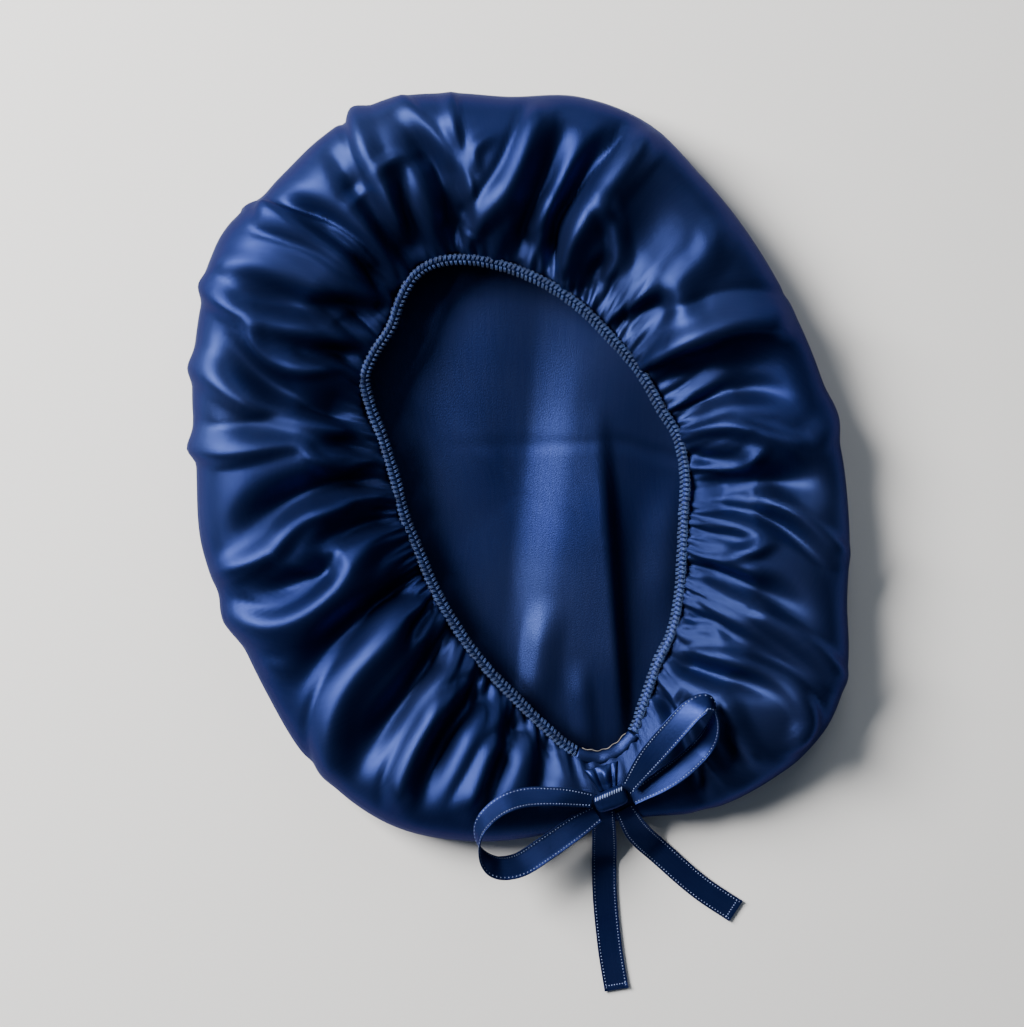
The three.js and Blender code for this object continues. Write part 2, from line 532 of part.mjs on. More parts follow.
// The knot: a short rounded block of wrapped ribbon that rests on the cloth
function makeKnot(supports) {
  const rest = Math.max(...[-1, 0, 1].flatMap((u) => [-1, 0, 1].map((v) =>
    topUnder(supports, knotPlace.x + (u * knotLength) / 2.2, knotPlace.y + (v * knotWidth) / 2.2))));
  const sides = 12;
  const ends = [[-0.5, 0.72], [-0.44, 0.9], [-0.25, 1], [0.25, 1], [0.44, 0.9], [0.5, 0.72]];
  const rings = ends.map(([place, fullness]) =>
    Array.from({ length: sides }, (_, k) => {
      const turn = (2 * Math.PI * k) / sides;
      const square = (value) => Math.sign(value) * Math.abs(value) ** 0.7;
      return new THREE.Vector3(
        place * knotLength, (square(Math.cos(turn)) * knotWidth * fullness) / 2,
        (square(Math.sin(turn)) * knotHeight * fullness) / 2,
      );
    }),
  );
  const geometry = ringedGeometry(rings);
  geometry.rotateZ(radians(knotTurn));
  geometry.translate(knotPlace.x, knotPlace.y, rest + clearance + knotHeight / 2);
  return geometry;
}

// The short length of ribbon between the hem and the knot
function makeLead(supports) {
  const nearHem = -(knotOffset - bandWidth / 2 - clearance) + 1.2;
  const nearKnot = -(knotWidth / 2 + clearance) - 0.6;
  const direction = knotPlace.clone().normalize();
  const aside = new THREE.Vector2(-direction.y, direction.x).multiplyScalar(-2.4);
  const row = (distance) => ({
    x: direction.x * distance + aside.x, y: direction.y * distance + aside.y, lift: 0, breadth: 1, face: 90,
  });
  const rows = [0, 0.33, 0.67, 1].map((share) => row(nearHem + (nearKnot - nearHem) * share));
  return ribbonGeometry(rows, 1, 1, 0.5, supports, leadWidth);
}

const satin = new THREE.MeshStandardMaterial({ color: 0x16295c, roughness: 0.38, metalness: 0.1 });
const threadWork = new THREE.MeshStandardMaterial({ color: 0x24397a, roughness: 0.6, metalness: 0 });
const ribbonSatin = new THREE.MeshStandardMaterial({ color: 0x182a66, roughness: 0.34, metalness: 0.1 });

function namedMesh(name, geometry, material) {
  const mesh = new THREE.Mesh(geometry, material);
  mesh.name = name;
  mesh.updateMatrixWorld(true);
  return mesh;
}

const cloth = namedMesh("bonnet_cloth", makeCloth(), satin);
const band = namedMesh("elastic_band", makeBand(), threadWork);
const hem = namedMesh("exit_hem", makeHem(), satin);
cloth.material.side = THREE.DoubleSide;
const lead = namedMesh("ribbon_lead", makeLead([cloth]), ribbonSatin);
const knot = namedMesh("bow_knot", makeKnot([cloth]), ribbonSatin);
const bow = [
  lead,
  knot,
  namedMesh("bow_loop_left", ribbonGeometry(leftLoop, loopSpan, 1, 0.2, [cloth]), ribbonSatin),
  namedMesh("bow_loop_right", ribbonGeometry(rightLoop, loopSpan, -1, 0.2, [cloth, band]), ribbonSatin),
  namedMesh("ribbon_tail_left", ribbonGeometry(leftTail, tailSpan, 1, 0.75, [cloth]), ribbonSatin),
  namedMesh("ribbon_tail_right", ribbonGeometry(rightTail, tailSpan, 1, 0.75, [cloth]), ribbonSatin),
];

const bonnet = new THREE.Group();
bonnet.add(cloth, band, hem, ...bow);
const extent = new THREE.Box3().setFromObject(bonnet);
const middle = extent.getCenter(new THREE.Vector3());
bonnet.position.set(-middle.x, -middle.y, -extent.min.z);

export default bonnet;
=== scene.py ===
# A satin sleep bonnet laid on its crown with the mouth up, closed by an overlocked band and a ribbon bow
import math
import random

import bpy
import numpy as np
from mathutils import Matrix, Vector
from mathutils.bvhtree import BVHTree


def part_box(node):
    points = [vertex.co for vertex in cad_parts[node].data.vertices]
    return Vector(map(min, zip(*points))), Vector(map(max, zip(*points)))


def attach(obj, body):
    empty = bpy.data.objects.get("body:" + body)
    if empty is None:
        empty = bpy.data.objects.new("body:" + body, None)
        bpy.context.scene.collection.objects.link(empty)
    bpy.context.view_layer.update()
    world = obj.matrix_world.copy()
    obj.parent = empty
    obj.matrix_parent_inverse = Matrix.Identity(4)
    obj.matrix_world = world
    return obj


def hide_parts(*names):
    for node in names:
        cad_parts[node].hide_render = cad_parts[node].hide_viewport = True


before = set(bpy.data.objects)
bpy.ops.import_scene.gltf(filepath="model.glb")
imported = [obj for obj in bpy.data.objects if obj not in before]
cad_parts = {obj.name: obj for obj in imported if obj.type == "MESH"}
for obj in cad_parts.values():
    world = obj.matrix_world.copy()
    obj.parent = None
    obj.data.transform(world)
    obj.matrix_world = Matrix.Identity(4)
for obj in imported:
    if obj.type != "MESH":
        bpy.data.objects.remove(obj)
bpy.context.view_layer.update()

mm = 0.001
tau = 2 * math.pi

# The pouch's sizes. The tables give shares of them, by angle round a point inside the mouth.
pouch = {
    "crownRadius": 150 * mm, "mouthRadius": 90 * mm, "puffHeight": 33 * mm, "mouthHeight": 18 * mm,
    "rimHeight": 9 * mm, "rimTuck": 11 * mm, "crestShare": 0.44, "rimFullness": 4.0,
}
bandShape = {
    "width": 4.2 * mm, "thickness": 2.4 * mm, "tilt": math.radians(24), "clearance": 0.35 * mm,
    "clothEdge": 0.3,
}
gapAngles = {"start": 281.5, "end": 294.5, "middle": 285.8}
turnSteps = 720  # how finely a whole turn is measured

# angle and reach of the rim
rimTable = [
    (2, 0.871), (20, 0.86), (40, 0.891), (60, 0.973), (71, 1.045), (82, 1.073), (92, 1.063), (101, 1.092),
    (110, 1.118), (120, 1.096), (128, 1.07), (140, 1.066), (150, 1.004), (160, 0.949), (175, 0.887),
    (190, 0.881), (205, 0.862), (218, 0.882), (232, 0.933), (248, 0.971), (262, 0.957), (279, 0.924),
    (290, 0.94), (300, 0.997), (311, 1.03), (320, 1.044), (330, 1.007), (341, 0.925), (352, 0.89),
]
# angle, reach and height of the mouth
mouthTable = [
    (5, 0.733, 0.66), (20, 0.736, 0.7), (31, 0.722, 0.75), (46, 0.75, 0.85), (60, 0.788, 1),
    (73, 0.86, 1.1), (85, 0.937, 1.15), (95, 1.005, 1.15), (103, 1.056, 1.2), (111, 1.087, 1.2),
    (117, 1.07, 1.2), (123, 1.008, 1.2), (129, 0.937, 1.2), (138, 0.901, 1.2), (145, 0.865, 1.15),
    (151, 0.783, 1.1), (160, 0.668, 1), (175, 0.577, 0.9), (192, 0.546, 0.85), (211, 0.544, 0.8),
    (229, 0.599, 0.8), (244, 0.684, 0.8), (256, 0.79, 0.8), (267, 0.921, 0.75), (275, 1.062, 0.7),
    (281, 1.19, 0.65), (287, 1.245, 0.62), (294, 1.2, 0.6), (300, 1.093, 0.6), (308, 0.984, 0.6),
    (316, 0.928, 0.6), (326, 0.849, 0.6), (338, 0.773, 0.62), (351, 0.733, 0.64),
]
# angle and height of the ring's crest
puffTable = [
    (0, 0.9), (30, 0.95), (60, 1.05), (90, 1.1), (125, 1.15), (155, 1.1), (190, 1), (225, 0.95),
    (250, 0.9), (267, 0.72), (280, 0.5), (293, 0.5), (306, 0.72), (325, 0.9),
]


def smooth(x):
    x = np.clip(x, 0, 1)
    return x * x * (3 - 2 * x)


def unit(vectors):
    return vectors / np.linalg.norm(vectors, axis=-1, keepdims=True)


def waysAlong(points):
    # how far along a line each of its points is
    return np.concatenate([[0], np.cumsum(np.linalg.norm(np.diff(points, axis=0), axis=1))])


def squared(wave, power):
    # a wave that stays longer near its ends
    return np.sign(wave) * np.abs(wave) ** power


def between(values, i, s, slope1, slope2):
    # a curve from value i to the next one, which leaves and arrives with the given slopes
    return ((2 * s**3 - 3 * s**2 + 1) * values[i] + (s**3 - 2 * s**2 + s) * slope1
            + (3 * s**2 - 2 * s**3) * values[i + 1] + (s**3 - s**2) * slope2)


def around(table, column, angle):
    # a smooth closed curve through a table's rows, for one angle or an array of them
    places, values = np.array([(row[0], row[column]) for row in table], dtype=float).T
    places = np.concatenate([places[-2:] - 360, places, places[:3] + 360])
    values = np.concatenate([values[-2:], values, values[:3]])
    a = np.mod(angle, 360)
    i = np.searchsorted(places, a, side="right") - 1
    span = places[i + 1] - places[i]
    s = (a - places[i]) / span
    slope1 = (values[i + 1] - values[i - 1]) / (places[i + 1] - places[i - 1]) * span
    slope2 = (values[i + 2] - values[i]) / (places[i + 2] - places[i]) * span
    return between(values, i, s, slope1, slope2)


def rimReach(angle):
    return around(rimTable, 1, angle) * pouch["crownRadius"]


def bandReach(angle):
    return around(mouthTable, 1, angle) * pouch["mouthRadius"]


def facing(angle):
    a = np.radians(angle)
    return np.stack([np.cos(a), np.sin(a)], axis=-1)


def bandFrame(angle):
    # the band's middle at an angle, the direction across its width and the one out of its upper face
    angle = np.asarray(angle, dtype=float)
    place = facing(angle) * bandReach(angle)[..., None]
    ahead = facing(angle + 0.5) * bandReach(angle + 0.5)[..., None]
    behind = facing(angle - 0.5) * bandReach(angle - 0.5)[..., None]
    along = unit(ahead - behind)
    level, steep = math.cos(bandShape["tilt"]), math.sin(bandShape["tilt"])
    lift = around(mouthTable, 2, angle) * pouch["mouthHeight"]
    full = np.ones_like(angle)
    middle = np.stack([place[..., 0], place[..., 1], lift], axis=-1)
    across = np.stack([along[..., 1] * level, -along[..., 0] * level, steep * full], axis=-1)
    up = np.stack([-along[..., 1] * steep, along[..., 0] * steep, level * full], axis=-1)
    return middle, across, up


def clothStart(angle):
    # where the cloth comes out of the band
    middle, across, _ = bandFrame(angle)
    return middle + across * bandShape["width"] * bandShape["clothEdge"]


def evenAngles(count):
    # angles of a whole turn, whose points stand evenly between the mouth and the rim
    angles = gapAngles["end"] + 360 * np.linspace(0, 1, turnSteps + 1)
    ways = waysAlong(facing(angles) * ((rimReach(angles) + 2 * bandReach(angles)) / 3)[:, None])
    return np.interp(np.arange(count) / count * ways[-1], ways, angles)


# The part's own centre is the middle of its box, so the tables' centre is found from the cloth's box
wholeTurn = np.linspace(0, 360, 2 * turnSteps + 1)
outline = facing(wholeTurn) * rimReach(wholeTurn)[:, None]
clothLow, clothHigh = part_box("bonnet_cloth")
boxMiddle = (np.array(clothLow) + clothHigh)[:2] / 2
centre = np.array([*(boxMiddle - (outline.min(axis=0) + outline.max(axis=0)) / 2), 0])


def placed(points):
    return np.asarray(points) + centre


def meshPiece(name, points, faces, uvs=None):
    # a piece from points, faces and one flat place of the cloth for each point
    mesh = bpy.data.meshes.new(name)
    mesh.from_pydata([tuple(p) for p in points], [], faces)
    if uvs is not None:
        layer = mesh.uv_layers.new(name="cut")
        order = np.empty(len(mesh.loops), dtype=np.int32)
        mesh.loops.foreach_get("vertex_index", order)
        layer.data.foreach_set("uv", np.asarray(uvs, dtype=np.float32)[order].ravel())
    mesh.polygons.foreach_set("use_smooth", [True] * len(mesh.polygons))
    mesh.update()
    piece = bpy.data.objects.new(name, mesh)
    bpy.context.collection.objects.link(piece)
    return piece


def ringFaces(outer, inner, count):
    return [(outer + j, outer + (j + 1) % count, inner + (j + 1) % count, inner + j) for j in range(count)]


def tubeFaces(count, sides):
    # the wall through count rings of so many sides, and a face over either end
    faces = [face for i in range(count - 1) for face in ringFaces(i * sides, (i + 1) * sides, sides)]
    return [*faces, tuple(range(sides)), tuple(range(count * sides - 1, (count - 1) * sides - 1, -1))]


def choose(piece):
    bpy.ops.object.select_all(action="DESELECT")
    piece.select_set(True)
    bpy.context.view_layer.objects.active = piece


def thicken(piece, thickness, offset):
    wall = piece.modifiers.new("wall", "SOLIDIFY")
    wall.thickness = thickness
    wall.offset = offset
    choose(piece)
    bpy.ops.object.modifier_apply(modifier=wall.name)


def turnOutwards(piece):
    choose(piece)
    bpy.ops.object.mode_set(mode="EDIT")
    bpy.ops.mesh.select_all(action="SELECT")
    bpy.ops.mesh.normals_make_consistent(inside=False)
    bpy.ops.object.mode_set(mode="OBJECT")


def closedPiece(name, points, faces, material, uvs=None):
    piece = meshPiece(name, points, faces, uvs)
    turnOutwards(piece)
    piece.data.materials.append(material)
    return piece


# Materials

def setInputs(node, values):
    # each input gets its value, or a link where that is another node's output
    for name, value in values.items():
        if isinstance(value, bpy.types.NodeSocket):
            node.id_data.links.new(value, node.inputs[name])
        else:
            node.inputs[name].default_value = value


def nodesFor(name):
    material = bpy.data.materials.new(name)
    material.use_nodes = True
    nodes = material.node_tree.nodes

    def node(kind, **values):
        made = nodes.new(kind)
        for key, value in values.items():
            if hasattr(made, key):
                setattr(made, key, value)
            else:
                setInputs(made, {key: value})
        return made

    return material, nodes["Principled BSDF"], node


def rampOf(node, share, places, colours):
    # a colour between two, by a share that runs from place to place
    ramp = node("ShaderNodeValToRGB", Fac=share)
    for element, place, colour in zip(ramp.color_ramp.elements, places, colours):
        element.position = place
        element.color = (*colour, 1)
    return ramp.outputs["Color"]


# what both satins share: the part of a noise that runs from one colour to the other, how much of the shade
# comes from slubs, the stretch of the crepe, the change of roughness, the depths of the relief and the sheen
satinLook = {
    "noiseRange": (0.3, 0.7), "slubShare": 0.18, "crepeStretch": 0.7, "roughSpread": 0.05,
    "weaveWander": 0.6, "weaveDepth": 0.04 * mm, "crepeDepth": 0.1 * mm, "index": 1.6, "grain": 0.3,
}
clothLook = {
    **satinLook, "dark": (0.0105, 0.0165, 0.086), "light": (0.021, 0.0335, 0.116),
    "tint": (0.14, 0.2, 0.42), "roughness": 0.41, "metallic": 0.8, "slub": (900, 60, 1),
    "crepe": 2300, "weave": 1400, "cloud": 14, "weaveBump": 0.5, "crepeBump": 0.6,
}
ribbonLook = {
    **satinLook, "dark": (0.0095, 0.0155, 0.082), "light": (0.018, 0.0295, 0.118),
    "tint": (0.2, 0.28, 0.55), "roughness": 0.38, "metallic": 0.75, "slub": (1800, 90, 1),
    "crepe": 1500, "weave": 1900, "cloud": 40, "weaveBump": 0.3, "crepeBump": 0.25,
}
threadLook = {
    "ply": 4200, "shade": 260, "noiseRange": (0.35, 0.65), "darker": 0.6, "lighter": 1.25,
    "plyBump": 0.5, "plyDepth": 0.05 * mm, "sheen": 0.3, "sheenTint": (0.5, 0.6, 0.9, 1),
}


def satinMaterial(name, look):
    # woven satin: a weave too fine to count, slubs along the weft, and a tinted broad sheen
    material, shader, node = nodesFor(name)
    flat = node("ShaderNodeUVMap", uv_map="cut").outputs["UV"]
    warp = node("ShaderNodeMapping", Vector=flat, Scale=look["slub"])
    grain = node("ShaderNodeMapping", Vector=flat, Scale=(1, look["crepeStretch"], 1))

    def noise(**values):
        return node("ShaderNodeTexNoise", **values).outputs["Fac"]

    slub = noise(noise_dimensions="2D", Vector=warp.outputs["Vector"], Scale=1, Detail=3)
    crepe = noise(noise_dimensions="2D", Vector=grain.outputs["Vector"], Scale=look["crepe"], Detail=2)
    cloud = noise(Vector=node("ShaderNodeTexCoord").outputs["Object"], Scale=look["cloud"])
    weave = node(
        "ShaderNodeTexWave", bands_direction="DIAGONAL", Vector=flat, Scale=look["weave"],
        Distortion=look["weaveWander"],
    )
    share = node("ShaderNodeMath", operation="MULTIPLY")
    setInputs(share, {0: cloud, 1: 1 - look["slubShare"]})
    blend = node("ShaderNodeMath", operation="MULTIPLY_ADD")
    setInputs(blend, {0: slub, 1: look["slubShare"], 2: share.outputs[0]})
    rough = node("ShaderNodeMapRange")
    setInputs(rough, {
        "Value": crepe, "From Min": look["noiseRange"][0], "From Max": look["noiseRange"][1],
        "To Min": look["roughness"] - look["roughSpread"], "To Max": look["roughness"] + look["roughSpread"],
    })
    fine = node(
        "ShaderNodeBump", Strength=look["weaveBump"], Distance=look["weaveDepth"],
        Height=weave.outputs["Fac"],
    )
    soft = node(
        "ShaderNodeBump", Strength=look["crepeBump"], Distance=look["crepeDepth"], Height=crepe,
        Normal=fine.outputs["Normal"],
    )
    warpWay = node("ShaderNodeTangent", direction_type="UV_MAP", uv_map="cut")
    setInputs(shader, {
        "Base Color": rampOf(node, blend.outputs[0], look["noiseRange"], (look["dark"], look["light"])),
        "Roughness": rough.outputs["Result"], "Normal": soft.outputs["Normal"],
        "Tangent": warpWay.outputs["Tangent"], "Metallic": look["metallic"],
        "Specular Tint": (*look["tint"], 1), "IOR": look["index"], "Anisotropic": look["grain"],
    })
    return material


def threadMaterial(name, colour, roughness=0.5):
    # twisted thread: fine plies and a little change of shade along it
    look = threadLook
    material, shader, node = nodesFor(name)
    where = node("ShaderNodeTexCoord").outputs["Object"]
    ply = node("ShaderNodeTexNoise", Vector=where, Scale=look["ply"])
    shade = node("ShaderNodeTexNoise", Vector=where, Scale=look["shade"])
    shades = ([c * look["darker"] for c in colour], [min(1, c * look["lighter"]) for c in colour])
    bump = node(
        "ShaderNodeBump", Strength=look["plyBump"], Distance=look["plyDepth"], Height=ply.outputs["Fac"]
    )
    setInputs(shader, {
        "Base Color": rampOf(node, shade.outputs["Fac"], look["noiseRange"], shades),
        "Normal": bump.outputs["Normal"], "Roughness": roughness, "Sheen Weight": look["sheen"],
        "Sheen Tint": look["sheenTint"],
    })
    return material


clothSatin = satinMaterial("navy satin", clothLook)
ribbonSatin = satinMaterial("ribbon satin", ribbonLook)
stitchThread = threadMaterial("overlock thread", (0.028, 0.062, 0.2))
# the picot thread's light blue is painted highlight on the small edge stitches
picotThreadPaintedHighlight = threadMaterial("picot thread with painted highlight", (0.3, 0.4, 0.7))
paleThread = threadMaterial("pale thread", (0.34, 0.31, 0.27), 0.6)
print("materials made")

# The gathered cloth

# main folds of the gathered ring: angle at the start and at the end, bow of the middle, start and end as
# shares of the way from the mouth to the rim, half width as a share of the crown's radius, spread of the
# width towards the end, and rise as a share of the puff's height
foldTable = [
    (1, 2, 0, 0, 1, 0.039, 1.6, -0.28), (11.5, 10, -3, 0, 0.5, 0.022, 1.2, -0.12),
    (24.8, 16, 4, 0, 0.9, 0.022, 2, -0.18), (37, 24, 0, 0, 1, 0.056, 1.6, -0.2),
    (46.7, 31, 0.5, 0, 0.95, 0.028, 2.4, 0.12), (61, 51, -1, 0, 0.45, 0.025, 1.3, -0.16),
    (68.5, 61, 0, 0, 1, 0.056, 1.8, -0.14), (74.3, 70, 0, 0, 0.3, 0.021, 1.2, -0.14),
    (84.5, 73, 1.5, 0, 1, 0.022, 1.3, -0.26), (92, 82, -0.5, 0, 0.95, 0.027, 1.5, -0.22),
    (102.5, 101, 0, 0.12, 0.8, 0.021, 1.5, -0.14), (106, 108, -1.5, 0, 0.95, 0.025, 2, -0.24),
    (113.5, 111, 0.5, 0, 0.65, 0.021, 1.2, -0.15), (115.5, 119, 1, 0, 0.75, 0.021, 1.3, -0.17),
    (119, 119.5, 0, 0.55, 1, 0.034, 1, -0.1), (122, 133, -1, 0, 1.1, 0.022, 1.8, -0.36),
    (126, 138, 1, 0, 0.42, 0.021, 1.3, -0.14), (130.5, 145.5, 2.5, 0, 0.9, 0.025, 2, -0.22),
    (139.5, 149, 2, 0, 0.62, 0.021, 1.5, -0.16), (152.5, 150.5, 6, 0, 1, 0.034, 1.8, -0.3),
    (163, 167, 1, 0, 0.95, 0.021, 2, -0.14), (174, 192, -1, 0, 0.95, 0.028, 2.2, -0.27),
    (191.5, 197, -2, 0, 0.52, 0.029, 1.2, -0.17), (201, 198.5, 2.5, 0.36, 0.92, 0.034, 1.3, -0.16),
    (220, 222, -2.5, 0, 0.95, 0.028, 2, -0.28), (232, 234, 0, 0, 0.3, 0.021, 1.2, -0.1),
    (245, 238, -1.5, 0, 1, 0.029, 2, -0.3), (261, 252.5, -4, 0, 0.95, 0.027, 1.7, -0.26),
    (271, 263, -1, 0, 0.85, 0.022, 1.5, -0.2), (277, 272, 0, 0, 0.9, 0.021, 1.4, -0.12),
    (303, 299, 0, 0, 1.1, 0.021, 1.4, -0.2), (306.5, 307.5, 0, 0.2, 1, 0.021, 1.3, -0.14),
    (310.5, 325, 0.5, 0, 0.82, 0.025, 1.7, -0.24), (322, 326.5, 1.5, 0, 0.9, 0.022, 1.7, -0.16),
    (334.5, 336, 1.5, 0, 0.88, 0.025, 2.2, -0.22), (346, 348, 0, 0, 0.46, 0.022, 1.3, -0.13),
    (353.5, 343.5, 4.5, 0, 1, 0.021, 2.2, -0.2),
]

# the ridges of the larger folds: a path in millimetres from the middle, the widths of the lit and the
# far slope, the rise, which side is lit (1 is left of the path) and the depth of a crease beside it
ridges = [
    ([(-108, 111), (-93, 106), (-79, 101), (-67, 92), (-55, 83), (-50, 77)], 10, 2.6, 6.5, -1, 1.4),
    ([(-127, 89), (-122, 79), (-113, 74), (-104, 70), (-96, 67), (-83, 63), (-69, 60),
     (-60, 56)], 7, 6, 3.2, 1, 0),
    ([(-126, 93), (-109, 92), (-96, 88), (-83, 81), (-73, 76), (-60, 75)], 6, 6, 1.6, 1, 0),
    ([(-106, 68), (-105, 58), (-100, 52), (-92, 49), (-78, 50), (-66, 50)], 6, 4, 2.8, 1, 0),
    ([(-78, 66), (-70, 69), (-64, 70), (-55, 69)], 3, 2, 1.4, 1, 0),
    ([(-135, 56), (-125, 49), (-110, 40), (-97, 32)], 8, 7, 2.6, 1, 0),
    ([(-135, 24), (-125, 18), (-111, 19), (-93, 24), (-66, 28), (-58, 28)], 9, 6, 3.6, 1, 0.6),
    ([(-87, 20), (-82, 13), (-72, 8), (-63, 12), (-54, 15)], 4, 4, 2.0, 1, 0),
    ([(-53, 0), (-67, 1), (-76, -4), (-88, -6), (-96, -14), (-101, -22), (-113, -28),
     (-129, -31)], 7, 6, 3.2, -1, 0),
    ([(-100, -23), (-93, -29), (-84, -31), (-76, -29)], 3, 3, 1.6, 1, 0),
    ([(-46, -12), (-56, -14), (-65, -19), (-71, -29), (-78, -40), (-88, -48), (-100, -52), (-114, -49),
     (-125, -40)], 6, 12, 3.8, -1, 0.8),
    ([(-36, -44), (-46, -45), (-51, -48), (-56, -57), (-68, -69), (-77, -83), (-81, -98), (-79, -110),
     (-76, -121)], 9, 9, 4.2, -1, 0.8),
    ([(-46, -58), (-38, -59), (-31, -54)], 2.5, 2, 1.2, 1, 0),
    ([(-14, -75), (-25, -79), (-34, -86), (-41, -97), (-47, -107), (-52, -118),
     (-52, -131)], 7, 8, 4.2, -1, 0.8),
    ([(-6, -97), (-13, -104), (-17, -112), (-23, -122), (-29, -132)], 6, 6, 3.8, -1, 0.8),
    ([(-104, -65), (-98, -70), (-88, -71)], 4, 4, 1.2, 1, 0),
    ([(-71, 157), (-68, 145), (-66, 137), (-63, 129), (-59, 121), (-54, 112), (-48, 102),
     (-42, 95)], 5, 7, 3.2, -1, 1.2),
    ([(-59, 126), (-53, 131), (-47, 133), (-42, 131)], 4, 4, 2.2, 1, 0),
    ([(-42, 131), (-38, 121), (-35, 111), (-34, 95)], 7, 3, 2.8, -1, 0),
    ([(-49, 128), (-48, 111), (-40, 96)], 2.5, 2.5, -1.8, -1, 0),
    ([(-53, 157), (-43, 145), (-34, 134), (-27, 123), (-23, 119)], 6, 4, 2.2, -1, 0),
    ([(-31, 160), (-30, 145), (-27, 131), (-23, 118), (-22, 104)], 5, 3, 2.6, -1, 0),
    ([(-21, 124), (-22, 133), (-19, 138), (-12, 142), (-7, 142)], 4, 4, 2.0, 1, 0),
    ([(-25, 94), (-23, 102), (-20, 107), (-12, 116), (-5, 127), (-1, 137), (2, 146),
     (7, 158)], 6, 9, 4.2, 1, 1.2),
    ([(-2, 96), (4, 106), (8, 115), (12, 125)], 4, 4, 2.2, 1, 0.5),
    ([(15, 84), (14, 94), (17, 103), (25, 113), (36, 127), (44, 138), (47, 148)], 8, 9, 5.6, 1, 1.8),
    ([(29, 113), (35, 104), (36, 93), (33, 88), (26, 83), (22, 77)], 5, 6, 3.0, -1, 0.6),
    ([(31, 67), (40, 74), (48, 80), (54, 85)], 6, 5, 2.8, 1, 0),
    ([(45, 51), (54, 56), (62, 62), (72, 65), (81, 69), (94, 70), (111, 68)], 14, 4.5, 6.2, 1, 0.8),
    ([(59, 65), (58, 78), (61, 86), (72, 95), (72, 111)], 7, 10, 2.4, 1, 0),
    ([(111, 20), (120, 26), (124, 36), (125, 48)], 8, 8, 2.2, 1, 0),
    ([(60, 23), (74, 27), (85, 28), (96, 25), (108, 20), (118, 15)], 5, 6, 3.4, 1, 0.6),
    ([(85, 30), (97, 27), (109, 21)], 2.5, 2.5, -1.5, 1, 0),
    ([(66, 10), (83, 10), (91, 14), (96, 22)], 6, 4, 3.6, 1, 0.6),
    ([(67, -10), (77, -9), (88, -9)], 4, 4, 2.0, 1, 0),
    ([(92, -3), (103, -9), (111, -16), (124, -27), (133, -31)], 6, 6, 4.0, -1, 0.8),
    ([(79, -25), (89, -23), (97, -19), (103, -16)], 5, 4, 3.2, 1, 0.4),
    ([(67, -25), (77, -27), (91, -31), (104, -35)], 5, 5, 3.0, 1, 0.4),
    ([(90, -48), (97, -53), (108, -60), (118, -69), (130, -83)], 6, 6, 4.0, -1, 0.8),
    ([(61, -55), (72, -52), (78, -56), (79, -60), (75, -62)], 4, 3, 2.8, 1, 0),
    ([(60, -64), (75, -65), (88, -69), (102, -73), (110, -78), (116, -88), (116, -96), (109, -104),
     (101, -102)], 6, 7, 4.4, 1, 0.8),
    ([(75, -85), (81, -89), (85, -99), (91, -108), (98, -114)], 5, 6, 3.6, -1, 0.6),
    ([(67, -103), (72, -108), (78, -115), (83, -123)], 3, 3, 1.8, -1, 0),
    ([(52, -113), (55, -119), (58, -128)], 3, 3, 1.6, -1, 0),
]

# how far from the band the ridges are full, how long their ends are, where the crest stands between the
# slopes, how far the slopes reach, and the place and width of the crease
ridgeShape = {
    "fullWay": 26 * mm, "headWay": 9 * mm, "tailWay": 14 * mm, "crest": 0.45, "litReach": 1.25,
    "farReach": 1.1, "creaseAt": 1.2, "creaseWidth": 1.8 * mm,
}

# loose folds of the crown: from a point to a point, the widths of the slopes left and right of it, the
# rise, and whether its crest has an edge
crownBanks = [
    ((31, 20), (40, -106), 40, 5.5, 7.4, True), ((26, 66), (10, -90), 22, 40, 3.5, False),
    ((60, 0), (56, -52), 14, 12, 1.5, False), ((9, -48), (4, -90), 9, 11, 2.4, False),
    ((23, -72), (27, -108), 8, 6, 2.0, False), ((-27, 19), (40, 20), 5, 3, -0.35, False),
    ((28, 24), (70, 11), 6, 4, -0.6, False), ((-12, 84), (-18, -8), 24, 20, 1.1, False),
]
# how far a crown fold reaches past its ends and how softly, the curve of its edge, and a crease's depth
bankShape = {"before": 0.15, "after": 1.15, "ease": 0.5, "edge": 1.5, "sag": 0.4 * mm}

clothBuild = {
    "columns": 560, "ringRows": 50, "underRows": 4, "floorRows": (3, 46, 14), "ringSpread": 1.35,
    "lastRing": 0.995, "floorSpread": 0.9, "floorEase": 0.2, "thickness": 0.45 * mm, "cutDiameter": 0.44,
    "gatherSeed": 7, "foldDepth": 1.1,
}

# small gathers: count round the mouth, depth, and where each level rises and fades, as ways from the band
gatherLevels = [
    (118, 1.92 * mm, 0.2 * mm, 7 * mm), (61, 2.08 * mm, 3 * mm, 13 * mm), (33, 1.92 * mm, 8 * mm, 24 * mm),
]
gatherWave = {"wander": (0.5, 1.3), "drift": (0.3, 0.8), "roundness": 0.75, "middle": 0.62}


def foldLift(angle, share, reach, span):
    total = np.zeros_like(reach)
    for at, to, bow, start, end, width, spread, rise in foldTable:
        s = (share - start) / (end - start)
        inside = (s >= 0) & (s <= 1)
        middle = at + (to - at) * s + bow * 4 * s * (1 - s)
        turn = np.mod(angle - middle + 180, 360) - 180
        slant = np.radians(to - at + bow * (4 - 8 * s)) / (end - start)
        across = np.radians(turn) * reach / np.hypot(1, slant * reach / span)
        half = width * pouch["crownRadius"] * (1 + (spread - 1) * s)
        shape = (0.3 + 0.7 * smooth(s / 0.15)) * (1 - smooth((s - 0.5) / 0.5))
        total += np.where(inside, rise * pouch["puffHeight"] * shape * np.exp(-((across / half) ** 2)), 0)
    return total * clothBuild["foldDepth"]


